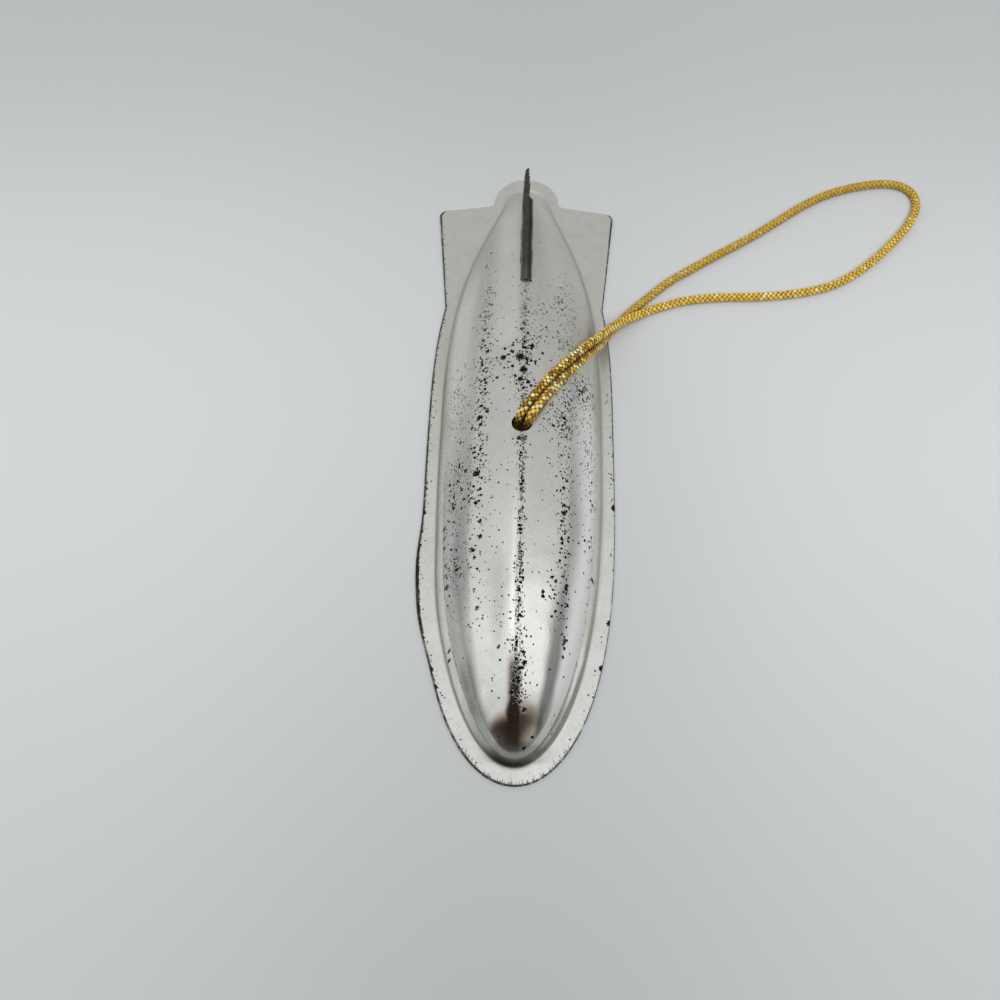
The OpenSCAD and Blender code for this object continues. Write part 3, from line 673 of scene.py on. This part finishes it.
FOLD0 = ridge_z(F0) + 0.65
fin_rows = np.unique(np.concatenate([np.linspace(F0, LE, 76), [29.8, 33.4, 36.6, 40.2, RE]]))
arc = np.linspace(0, np.pi, 15)
fin_v, fin_f = [], []
legs = 5
prof_n = 2 * (legs + 3) + len(arc)
r = FW / 2
for y in fin_rows:
    zt = FOLD0 + (y - F0) * SLOPE
    zc = zt - r                      # centre of the fold's round
    foot = ridge_z(y) - 0.12
    zc_c = max(zc, foot + 0.02)
    under = ridge_z(y) - T - 0.12
    wob = 0.05 * math.sin(y * 0.9) * np.clip((y - F0) / 6, 0, 1) + 0.45 * np.clip((y - RE - 0.6) / (LE - RE - 0.6), 0, 1) ** 1.3
    row = []
    rr_ = r if zc > foot else r
    # left: tab tip, tab, bend, then up the leaf
    row += [(-r - 1.9, under - 0.28), (-r - 0.5, under - 0.06), (-r, under)]
    for k in range(legs):
        row.append((-r + wob, foot + (zc_c - foot) * k / legs))
    for a in arc:
        row.append((-r * math.cos(a) + wob, max(zc + r * math.sin(a), foot if abs(math.cos(a)) > 0.6 else -9)))
    for k in range(legs):
        row.append((r + wob, zc_c - (zc_c - foot) * (k + 1) / legs))
    row += [(r, under), (r + 0.5, under - 0.06), (r + 1.9, under - 0.28)]
    fin_v += [(x + FX, y, z) for x, z in row]
fin_v = np.array(fin_v)


def in_tab(y):
    return 29.79 <= y <= 33.41 or 36.59 <= y <= 40.21


for i in range(len(fin_rows) - 1):
    ym = (fin_rows[i] + fin_rows[i + 1]) / 2
    for j in range(prof_n - 1):
        if (j < 3 or j >= prof_n - 4) and not in_tab(ym):
            continue
        taper = int(round(3.4 * min(1.0, max(0.0, (ym - RE - 1.5) / (LE - RE - 1.5))) ** 1.5))
        half_right = j >= 3 + legs + len(arc) // 2 + 1 - taper
        z_mid = fin_v[i * prof_n + j][2]
        lean = 0.35 * (z_mid - (FOLD0 + (ym - F0) * SLOPE - r)) if half_right else 0
        if half_right and ym > RE - 0.35 + lean * 0.4:
            continue
        fin_f.append([i * prof_n + j, i * prof_n + j + 1, (i + 1) * prof_n + j + 1, (i + 1) * prof_n + j])
fin = mesh_object("vertical_fin_folded", fin_v, fin_f)
fme = fin.data
bm = bmesh.new()
bm.from_mesh(fme)
bmesh.ops.delete(bm, geom=[q for q in bm.verts if not q.link_faces], context="VERTS")
bmesh.ops.remove_doubles(bm, verts=bm.verts, dist=1e-6)
bmesh.ops.recalc_face_normals(bm, faces=bm.faces)
if sum(f.normal.z for f in bm.faces if f.calc_center_median().z > 0.012) < 0:
    bmesh.ops.reverse_faces(bm, faces=bm.faces)
bm.to_mesh(fme)
bm.free()
sol = fin.modifiers.new("sheet", "SOLIDIFY")
sol.thickness, sol.offset, sol.use_even_offset = 0.42 * MM, -1.0, False
bev = fin.modifiers.new("edge", "BEVEL")
bev.width, bev.segments, bev.limit_method, bev.angle_limit = 0.05 * MM, 1, "ANGLE", math.radians(50)
bpy.context.view_layer.update()
done = bpy.data.meshes.new_from_object(fin.evaluated_get(bpy.context.evaluated_depsgraph_get()))
fin.modifiers.clear()
fin.data = done
for p in done.polygons:
    p.use_smooth = True
done.set_sharp_from_angle(angle=math.radians(40))
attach(shell, "root")
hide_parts("hull_shell")
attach(fin, "root")
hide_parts("vertical_fin")


# ---------------------------------------------------------------- materials
class Nodes:
    def __init__(self, name):
        self.mat = bpy.data.materials.new(name)
        self.mat.use_nodes = True
        self.t = self.mat.node_tree
        self.bsdf = self.t.nodes["Principled BSDF"]

    def new(self, kind, **props):
        nd = self.t.nodes.new(kind)
        for k, val in props.items():
            if k == "inputs":
                for key, x in val.items():
                    nd.inputs[key].default_value = x
            else:
                setattr(nd, k, val)
        return nd

    def link(self, a, b):
        self.t.links.new(a, b)

    def math(self, op, a, b=None, clamp=False):
        nd = self.new("ShaderNodeMath", operation=op, use_clamp=clamp)
        for i, x in enumerate((a, b)):
            if x is None:
                continue
            if isinstance(x, (int, float)):
                nd.inputs[i].default_value = x
            else:
                self.link(x, nd.inputs[i])
        return nd.outputs[0]

    def ramp(self, fac, lo, hi, a=0.0, b=1.0, smooth=True):
        nd = self.new("ShaderNodeMapRange", clamp=True, interpolation_type="SMOOTHSTEP" if smooth else "LINEAR")
        for k, x in zip(("From Min", "From Max", "To Min", "To Max"), (lo, hi, a, b)):
            nd.inputs[k].default_value = x
        self.link(fac, nd.inputs["Value"])
        return nd.outputs[0]

    def mix(self, fac, a, b):
        nd = self.new("ShaderNodeMix", data_type="RGBA")
        sock = [s for s in nd.inputs if s.enabled]
        f, ca, cb = sock[0], sock[1], sock[2]
        for s, x in ((f, fac), (ca, a), (cb, b)):
            if isinstance(x, (int, float)):
                s.default_value = x
            elif isinstance(x, tuple):
                s.default_value = x if len(x) == 4 else (*x, 1)
            else:
                self.link(x, s)
        return [o for o in nd.outputs if o.enabled][0]

    def attr(self, name):
        return self.new("ShaderNodeAttribute", attribute_name=name).outputs["Fac"]

    def noise(self, vec, scale, detail=2.0, rough=0.5, distort=0.0):
        nd = self.new("ShaderNodeTexNoise")
        nd.inputs["Scale"].default_value = scale
        nd.inputs["Detail"].default_value = detail
        nd.inputs["Roughness"].default_value = rough
        nd.inputs["Distortion"].default_value = distort
        self.link(vec, nd.inputs["Vector"])
        return nd.outputs["Fac"]

    def coords(self, sx=1000.0, sy=1000.0, sz=1000.0, rot=0.0):
        tc = self.new("ShaderNodeTexCoord")
        mp = self.new("ShaderNodeMapping")
        mp.inputs["Scale"].default_value = (sx, sy, sz)
        mp.inputs["Rotation"].default_value = (0, 0, rot)
        self.link(tc.outputs["Object"], mp.inputs["Vector"])
        return mp.outputs["Vector"]


def lin(r, g, b):
    f = lambda c: ((c / 255) / 12.92) if c / 255 <= 0.04045 else (((c / 255) + 0.055) / 1.055) ** 2.4
    return (f(r), f(g), f(b), 1.0)


def tin_material():
    m = Nodes("tinplate_worn")
    mm_ = m.coords()                                    # millimetres
    edge, wide, rim = m.attr("edge"), m.attr("edge_wide"), m.attr("nose_rim")
    dull, groove, foot = m.attr("dull"), m.attr("groove"), m.attr("foot")
    # slow tonal change, then a fine grain of tiny marks
    cloud = m.noise(mm_, 0.16, 3, 0.55)
    mottled = m.noise(mm_, 0.7, 4, 0.6)
    grain = m.noise(mm_, 4.5, 3, 0.65)
    col = m.mix(dull, lin(224, 224, 220), lin(212, 212, 206))
    col = m.mix(m.ramp(cloud, 0.35, 0.7, 0, 0.3), col, lin(206, 206, 198))
    col = m.mix(m.ramp(mottled, 0.45, 0.75, 0, 0.2), col, lin(182, 182, 173))
    col = m.mix(m.ramp(grain, 0.54, 0.7, 0, 0.3), col, lin(140, 140, 132))
    # painted highlight: lightens the base colour towards white
    col = m.mix(m.math("MULTIPLY", m.attr("painted_sheen"), m.ramp(mottled, 0.6, 0.78, 1.0, 0.7)), col, lin(250, 250, 247))
    # painted shade with some dulling: darkens the base colour on the left flank and at the nose's foot
    col = m.mix(m.math("MULTIPLY", m.attr("tarnish_and_shade"), m.ramp(mottled, 0.3, 0.6, 0.8, 1.0)), col, lin(150, 149, 143))

    # black pits: round cells of chance size that are there where the field allows
    def dots(scale, field, gain, lo, hi, soft, bend):
        warp = m.noise(mm_, scale * 1.6, 2, 0.6)
        vor = m.new("ShaderNodeTexVoronoi", voronoi_dimensions="3D", feature="F1")
        vor.inputs["Scale"].default_value = scale
        m.link(mm_, vor.inputs["Vector"])
        parts = m.new("ShaderNodeSeparateColor")
        m.link(vor.outputs["Color"], parts.inputs[0])
        clumps = m.ramp(m.noise(mm_, 0.55, 3, 0.6), 0.36, 0.62, 0.35, 1.35, False)
        allowed = m.math("MULTIPLY", m.math("MULTIPLY", field, gain), clumps)
        there = m.math("GREATER_THAN", allowed, parts.outputs[0])
        size = m.ramp(parts.outputs[1], 0, 1, lo, hi, False)
        dist = m.math("ADD", vor.outputs["Distance"], m.math("MULTIPLY", m.math("SUBTRACT", warp, 0.5), bend))
        body = m.math("DIVIDE", m.math("SUBTRACT", size, dist), soft)
        body = m.math("ADD", body, 0.5, True)
        return m.math("MULTIPLY", body, there)

    small = dots(2.9, m.attr("fine"), 0.72, 0.16, 0.55, 0.14, 0.9)
    mid = dots(1.6, m.attr("coarse"), 1.75, 0.1, 0.52, 0.08, 1.05)
    small = m.math("MAXIMUM", small, dots(3.3, m.attr("crest"), 1.5, 0.25, 0.6, 0.12, 0.9))
    ragged_n = m.noise(mm_, 3.6, 4, 0.7)
    blot = m.ramp(m.math("ADD", m.attr("blots"), m.math("MULTIPLY", m.math("SUBTRACT", ragged_n, 0.5), 1.5)), 0.62, 0.72)
    strokes = m.noise(m.coords(3.2, 0.75, 1.5, math.radians(-28)), 1.0, 2, 0.6, 0.4)
    hatch = m.ramp(m.math("ADD", strokes, m.math("MULTIPLY", m.attr("hatch"), 0.15)), 0.675, 0.71)
    black = m.math("MAXIMUM", m.math("MAXIMUM", m.math("MULTIPLY", small, 0.94), mid), m.math("MAXIMUM", blot, hatch))
    pulled = m.new("ShaderNodeCombineXYZ")
    m.link(m.math("MULTIPLY", m.attr("around"), 3.1), pulled.inputs[0])
    m.link(m.math("MULTIPLY", m.attr("edge_far"), 0.45), pulled.inputs[1])
    streaks = m.ramp(m.noise(pulled.outputs[0], 1.0, 3, 0.65), 0.5, 0.7, 0.0, 0.26)
    col = m.mix(m.math("MULTIPLY", streaks, m.attr("drawn")), col, lin(150, 149, 140))
    black = m.math("MULTIPLY", black, m.ramp(m.attr("dull"), 0.84, 1.0, 1.0, 0.72))
    # stains, then painted shade with some dirt in the crease at the hull's foot and in the dark band round the nose's
    # foot
    col = m.mix(m.math("MULTIPLY", m.attr("stain"), 0.6), col, lin(196, 186, 164))
    col = m.mix(m.math("MULTIPLY", groove, 0.78), col, lin(108, 106, 92))
    col = m.mix(m.math("MULTIPLY", foot, 0.95), col, lin(30, 24, 18))
    col = m.mix(black, col, lin(34, 33, 30))
    # rust along the cut edge, darker chips in it, short scratches round the nose
    chips = m.noise(mm_, 1.1, 4, 0.7)
    rusty = m.math("MULTIPLY", m.ramp(edge, 0.12, 0.55), m.ramp(chips, 0.3, 0.5, 0.35, 1.0))
    ragged = m.ramp(m.math("ADD", m.noise(mm_, 1.9, 5, 0.75), m.math("MULTIPLY", wide, 0.24)), 0.735, 0.79)
    ray = m.new("ShaderNodeCombineXYZ")
    m.link(m.math("MULTIPLY", m.attr("around"), 4.4), ray.inputs[0])
    m.link(m.math("MULTIPLY", m.attr("edge_far"), 0.8), ray.inputs[1])
    nicks = m.noise(ray.outputs[0], 1.0, 2, 0.6)
    nicks = m.math("MULTIPLY", m.ramp(m.math("ADD", nicks, m.math("MULTIPLY", rim, 0.24)), 0.70, 0.77, 0.0, 0.85), m.ramp(rim, 0.02, 0.25))
    worn = m.math("MAXIMUM", m.math("MAXIMUM", rusty, m.math("MULTIPLY", ragged, 0.85)),
                  m.math("MAXIMUM", nicks, m.ramp(m.math("ADD", m.attr("burr"), m.math("MULTIPLY", m.math("SUBTRACT", m.noise(mm_, 2.4, 4, 0.75), 0.5), 1.5)), 0.42, 0.52)))
    col = m.mix(worn, col, m.mix(m.ramp(chips, 0.45, 0.62), lin(28, 28, 28), lin(62, 59, 52)))
    m.link(col, m.bsdf.inputs["Base Color"])
    # metal and gloss are lowered on the rust and on the painted shade at the hull's foot
    wear_and_shade = m.math("MAXIMUM", worn, m.math("MAXIMUM", m.math("MULTIPLY", groove, 0.5), m.math("MULTIPLY", foot, 0.5)))
    m.link(m.math("SUBTRACT", 1.0, m.math("MAXIMUM", m.math("MULTIPLY", black, 0.12), wear_and_shade), True), m.bsdf.inputs["Metallic"])
    spoiled = m.math("MAXIMUM", black, wear_and_shade)
    rough = m.math("ADD", m.math("MULTIPLY", dull, 0.36), 0.13)
    rough = m.math("ADD", rough, m.math("MULTIPLY", m.math("SUBTRACT", mottled, 0.5), 0.14))
    rough = m.math("ADD", rough, m.math("MULTIPLY", m.math("SUBTRACT", grain, 0.5), 0.14))
    rough = m.math("SUBTRACT", rough, m.math("MULTIPLY", m.attr("sleek"), 0.05))
    rough = m.math("MAXIMUM", rough, m.math("MULTIPLY", spoiled, 0.7), True)
    m.bsdf.inputs["Specular IOR Level"].default_value = 0.2
    m.link(rough, m.bsdf.inputs["Roughness"])
    bump = m.new("ShaderNodeBump")
    bump.inputs["Strength"].default_value = 0.4
    bump.inputs["Distance"].default_value = 0.00012
    height = m.math("SUBTRACT", m.math("MULTIPLY", mottled, 0.5), m.math("MULTIPLY", black, 0.8))
    height = m.math("ADD", height, m.math("MULTIPLY", grain, 0.25))
    height = m.math("MULTIPLY", height, m.ramp(m.attr("sleek"), 0.0, 1.0, 1.0, 0.25))
    m.link(height, bump.inputs["Height"])
    m.link(bump.outputs["Normal"], m.bsdf.inputs["Normal"])
    return m.mat


def fin_material():
    m = Nodes("fin_tinplate_worn")
    mm_ = m.coords()
    sep = m.new("ShaderNodeSeparateXYZ")
    m.link(mm_, sep.inputs[0])
    cloud = m.noise(mm_, 0.8, 4, 0.6)
    grain = m.noise(mm_, 5.0, 3, 0.6)
    nrm = m.new("ShaderNodeNewGeometry")
    sn = m.new("ShaderNodeSeparateXYZ")
    m.link(nrm.outputs["Normal"], sn.inputs[0])
    fold = m.ramp(sn.outputs["Z"], 0.15, 0.75)
    col = m.mix(m.ramp(cloud, 0.35, 0.65), lin(150, 150, 144), lin(172, 171, 164))
    col = m.mix(m.ramp(grain, 0.5, 0.7, 0, 0.5), col, lin(96, 94, 86))
    low = m.ramp(sep.outputs["Y"], 25.0, 30.0, 1.0, 0.0)
    dark = m.mix(m.ramp(cloud, 0.4, 0.6), lin(40, 39, 36), lin(52, 50, 46))
    dark = m.mix(m.math("MULTIPLY", low, 0.7), dark, lin(74, 73, 69))
    # painted shade: the right side of the fold goes near black
    dark = m.mix(m.ramp(sep.outputs["X"], 0.2, 0.6, 0, 0.9), dark, lin(14, 13, 12))
    col = m.mix(m.math("MULTIPLY", fold, 0.96), col, dark)
    m.link(col, m.bsdf.inputs["Base Color"])
    m.link(m.math("SUBTRACT", 1.0, m.math("MULTIPLY", fold, 0.85)), m.bsdf.inputs["Metallic"])
    m.link(m.ramp(grain, 0.3, 0.7, 0.38, 0.6, False), m.bsdf.inputs["Roughness"])
    m.bsdf.inputs["Specular IOR Level"].default_value = 0.12
    bump = m.new("ShaderNodeBump")
    bump.inputs["Strength"].default_value = 0.3
    bump.inputs["Distance"].default_value = 0.0001
    m.link(grain, bump.inputs["Height"])
    m.link(bump.outputs["Normal"], m.bsdf.inputs["Normal"])
    return m.mat


def gold_material():
    m = Nodes("gold_metallic_braid")
    mm_ = m.coords()
    crown, chance, length, hole_shade = m.attr("crown"), m.attr("chance"), m.attr("length"), m.attr("hole_shade")
    fine = m.noise(mm_, 6.0, 2, 0.6)
    threads = m.noise(mm_, 11.0, 1, 0.5)
    # the second half of the loop is duller and browner than the first
    second = m.ramp(length, 96.0, 112.0)
    second = m.math("MULTIPLY", second, m.ramp(length, 176.0, 196.0, 1.0, 0.35))
    near = m.math("MAXIMUM", m.ramp(length, 20.0, 40.0, 1.0, 0.0), m.ramp(length, 176.0, 194.0))
    # painted highlights: the crowns of the bundles are lighter, with painted glints on some; painted shade lies in the
    # valleys between them. Near the hole both are stronger, with some bundles painted dark.
    bright = m.mix(m.ramp(chance, 0.1, 0.9), lin(212, 164, 24), lin(242, 204, 60))
    bright = m.mix(m.math("MULTIPLY", near, 0.7), bright, m.mix(m.ramp(chance, 0.1, 0.9), lin(234, 172, 10), lin(255, 220, 58)))
    bright = m.mix(m.ramp(crown, 0.8, 0.97, 0, 0.55), bright, lin(255, 238, 158))
    bright = m.mix(m.ramp(chance, 0.88, 0.94, 0, 0.6), bright, lin(255, 250, 206))
    bright = m.mix(m.math("MULTIPLY", near, m.ramp(chance, 0.1, 0.5, 0.9, 0.0)), bright, lin(122, 66, 2))
    bright = m.mix(m.math("MULTIPLY", near, m.ramp(chance, 0.68, 0.82, 0.0, 0.9)), bright, lin(255, 248, 188))
    valley = m.mix(near, lin(90, 56, 5), lin(34, 15, 0))
    shown = m.math("SUBTRACT", m.ramp(crown, 0.22, 0.66), m.math("MULTIPLY", near, m.ramp(crown, 0.4, 0.8, 0.3, 0.0)), True)
    col = m.mix(shown, valley, bright)
    col = m.mix(m.ramp(fine, 0.56, 0.68, 0, 0.6), col, m.mix(near, lin(122, 84, 18), lin(84, 50, 6)))
    # painted glints: fine specks lightened towards white
    col = m.mix(m.ramp(threads, 0.6, 0.68, 0, 0.6), col, lin(255, 248, 200))
    col = m.mix(m.math("MULTIPLY", second, 0.5), col, lin(172, 138, 62))
    # painted shade where the two runs of the cord lie against each other
    col = m.mix(m.math("MULTIPLY", m.attr("contact_shade"), m.ramp(fine, 0.3, 0.6, 0.85, 0.55)), col, lin(78, 40, 3))
    # painted shade in and below the hole
    col = m.mix(m.math("MULTIPLY", hole_shade, 0.9), col, lin(44, 24, 8))
    m.link(col, m.bsdf.inputs["Base Color"])
    m.bsdf.inputs["Metallic"].default_value = 0.45
    m.bsdf.inputs["Specular IOR Level"].default_value = 0.15
    m.link(m.math("ADD", m.ramp(chance, 0, 1, 0.42, 0.28, False), m.math("MULTIPLY", second, 0.15)), m.bsdf.inputs["Roughness"])
    bump = m.new("ShaderNodeBump")
    bump.inputs["Strength"].default_value = 0.8
    bump.inputs["Distance"].default_value = 0.00006
    m.link(m.math("ADD", fine, m.math("MULTIPLY", threads, 0.8)), bump.inputs["Height"])
    m.link(bump.outputs["Normal"], m.bsdf.inputs["Normal"])
    return m.mat


def give(ob, mat):
    ob.data.materials.clear()
    ob.data.materials.append(mat)


tin, fin_tin, gold = tin_material(), fin_material(), gold_material()
give(shell, tin)
give(fin, fin_tin)
for ob in [cord, knot] + tails:
    give(ob, gold)

# ---------------------------------------------------------------- floor and light
FLOOR_GAIN, LOW_SKY, SKY_GAIN, LAMP = 0.847, 0.5, 1.0, 22.0
def floor_light(x, y):
    """How bright the surface is at a place (mm), painted into the floor's colour: a broad painted pool of light across
    the middle, the onlooker's painted soft shadow towards the front, and a faint painted shade beside the object's
    right side."""
    v = 0.547 + 0.142 * np.exp(-(y / 77.6) ** 2) - 0.057 / (1 + np.exp(np.clip((62.4 - y) / 12.4, -50, 50)))
    v = v - 0.113 * np.exp(-(x / 46.2) ** 2 - ((y + 107) / 176.0) ** 2)
    v = v * np.interp(y, (-110, -80, -20, 40, 120), (0.9, 0.91, 0.935, 0.95, 0.985))
    return v * (1 - 0.035 * np.exp(-((x - 23) / 14) ** 2 - ((y + 14) / 32) ** 2))


side_n, span = 181, 540.0
fg = np.linspace(-span, span, side_n)
FX, FY = np.meshgrid(fg, fg)
floor = mesh_object("floor", np.stack([FX.ravel(), FY.ravel(), np.full(FX.size, -0.03)], 1),
                    [[r * side_n + c, r * side_n + c + 1, (r + 1) * side_n + c + 1, (r + 1) * side_n + c]
                     for r in range(side_n - 1) for c in range(side_n - 1)])
fa = floor.data.attributes.new("pool", "FLOAT", "POINT")
fa.data.foreach_set("value", (floor_light(FX, FY) * FLOOR_GAIN).ravel().astype(np.float32))
fm = Nodes("floor_pale")
fcol = fm.new("ShaderNodeCombineColor")
pool = fm.attr("pool")
for k, tint in enumerate((0.975, 1.004, 1.018)):
    fm.link(fm.math("MULTIPLY", pool, tint), fcol.inputs[k])
fm.link(fcol.outputs[0], fm.bsdf.inputs["Base Color"])
fm.bsdf.inputs["Roughness"].default_value = 0.7
fm.bsdf.inputs["Specular IOR Level"].default_value = 0.15
give(floor, fm.mat)

world = bpy.data.worlds.new("studio")
scene.world = world
world.use_nodes = True
wt = world.node_tree
for nd in list(wt.nodes):
    wt.nodes.remove(nd)


class World(Nodes):
    def __init__(self):
        self.t = wt


w = World()
tc = w.new("ShaderNodeTexCoord")
sx = w.new("ShaderNodeSeparateXYZ")
w.link(tc.outputs["Generated"], sx.inputs[0])
wx, wy, wz = sx.outputs
# the brightest part of the ceiling is straight overhead; beyond the tail the
# room is dimmer, and a dark onlooker leans in from the nose's side
band_y = w.new("ShaderNodeValToRGB")
w.link(w.ramp(wy, -1.0, 1.0, 0.0, 1.0, False), band_y.inputs[0])
stops = [(-1.0, 0.55), (-0.42, 0.94), (-0.2, 1.1), (0.0, 1.2), (0.14, 1.02), (0.28, 0.92), (0.45, 0.8), (0.7, 0.66), (1.0, 0.62)]
ramp_ = band_y.color_ramp
ramp_.interpolation = "EASE"
while len(ramp_.elements) > 1:
    ramp_.elements.remove(ramp_.elements[-1])
ramp_.elements[0].position = 0.0
ramp_.elements[0].color = (stops[0][1], stops[0][1], stops[0][1], 1)
for at, val in stops[1:]:
    el = ramp_.elements.new((at + 1) / 2)
    el.color = (val, val, val, 1)
sky = w.new("ShaderNodeSeparateColor")
w.link(band_y.outputs[0], sky.inputs[0])
low = w.math("MAXIMUM", w.ramp(wz, 0.02, 0.5, LOW_SKY, 1.0), w.ramp(wy, 0.2, 0.6, 0.0, 0.95))
low = w.math("MAXIMUM", low, w.ramp(wx, 0.86, 0.99, 0.0, 0.85))
sky = w.math("MULTIPLY", sky.outputs[0], low)
# a dim wall at the right, then a lighter one beyond it
aside = w.math("MULTIPLY", w.ramp(wx, 0.61, 0.79, 0.0, 1.0), w.ramp(wz, 0.02, 0.36, 0.42, 1.0))
aside = w.math("MULTIPLY", aside, w.ramp(wy, 0.02, 0.42, 1.0, 0.0))
sky = w.math("MULTIPLY", sky, w.math("SUBTRACT", 1.0, w.math("MULTIPLY", aside, 0.74)))
mid_right = w.math("MULTIPLY", w.ramp(wx, 0.1, 0.3, 0.0, 1.0), w.ramp(wy, 0.12, 0.28, 0.0, 1.0))
sky = w.math("MULTIPLY", sky, w.math("SUBTRACT", 1.0, w.math("MULTIPLY", mid_right, 0.2)))
# a dim beam across the ceiling
beam = w.math("MULTIPLY", w.ramp(w.math("ABSOLUTE", w.math("ADD", wx, 0.47)), 0.05, 0.12, 1.0, 0.0), w.ramp(wy, -0.16, -0.04, 0.0, 1.0))
beam = w.math("MULTIPLY", beam, w.ramp(wy, 0.2, 0.4, 1.0, 0.0))
sky = w.math("MULTIPLY", sky, w.math("SUBTRACT", 1.0, w.math("MULTIPLY", beam, 0.27)))
sky = w.math("MULTIPLY", sky, w.ramp(wx, -1.0, 0.2, 0.78, 1.0, False))
# the onlooker: a wide body low down, a narrow neck above it
side = w.ramp(wx, -0.1, 0.34)
risen_l, risen_r = w.ramp(wy, -0.66, -0.485, 1.0, 0.0), w.ramp(wy, -0.59, -0.33, 1.0, 0.0)
risen = w.math("ADD", risen_l, w.math("MULTIPLY", side, w.math("SUBTRACT", risen_r, risen_l)))
half = w.math("MULTIPLY", w.ramp(w.math("SUBTRACT", wx, w.ramp(wy, -0.9, -0.5, -0.62, -1.02, False)), -0.14, 0.2, 0.0, 0.93),
              w.ramp(w.math("SUBTRACT", wx, w.ramp(wy, -0.9, -0.5, 0.46, 0.97, False)), -0.4, 0.2, 1.0, 0.0))
core = w.ramp(w.math("SUBTRACT", w.math("ABSOLUTE", w.math("ADD", wx, 0.1)), 0.38), -0.26, 0.26, 1.0, 0.0)
body = w.math("SUBTRACT", 1.0, w.math("MULTIPLY", w.math("SUBTRACT", 1.0, half), w.math("SUBTRACT", 1.0, core)))
body = w.math("MULTIPLY", risen, body)
neck = w.math("MULTIPLY", w.ramp(wy, -0.29, -0.13, 1.0, 0.0), w.ramp(w.math("SUBTRACT", w.math("ABSOLUTE", w.math("ADD", wx, 0.03)), w.ramp(wy, -0.56, -0.4, 0.12, 0.0)), 0.12, 0.33, 1.0, 0.0))
fan = w.math("MAXIMUM", body, neck)
fan = w.math("MULTIPLY", fan, w.ramp(wz, 0.0, 0.12, 0.0, 1.0))
value = w.math("MULTIPLY", sky, w.math("SUBTRACT", 1.0, w.math("MULTIPLY", fan, w.ramp(wy, -0.85, -0.6, 0.935, 0.97, False))))
value = w.math("MULTIPLY", value, SKY_GAIN)
bg = w.new("ShaderNodeBackground")
tint = w.mix(fan, (0.985, 1.0, 1.0), (1.0, 0.8, 0.66))
tint = w.mix(w.math("MULTIPLY", core, risen), tint, (1.0, 0.58, 0.42))
w.link(tint, bg.inputs["Color"])
w.link(value, bg.inputs["Strength"])
out = w.new("ShaderNodeOutputWorld")
w.link(bg.outputs[0], out.inputs[0])

# a soft lamp above the onlooker, whose glare does not reach the metal
lamp = bpy.data.lights.new("soft_lamp", "AREA")
lamp.shape, lamp.size, lamp.energy, lamp.color = "DISK", 1.2, LAMP, (1.0, 1.0, 1.0)
lamp_ob = link(bpy.data.objects.new("soft_lamp", lamp))
lamp_ob.location = (0.12, -0.8, 1.38)
lamp_ob.rotation_euler = (-lamp_ob.location).to_track_quat("-Z", "Y").to_euler()
lamp_ob.visible_glossy = False
scene.view_settings.view_transform = "Standard"
scene.view_settings.look = "None"
scene.view_settings.exposure = 0.0
scene.view_settings.gamma = 1.0
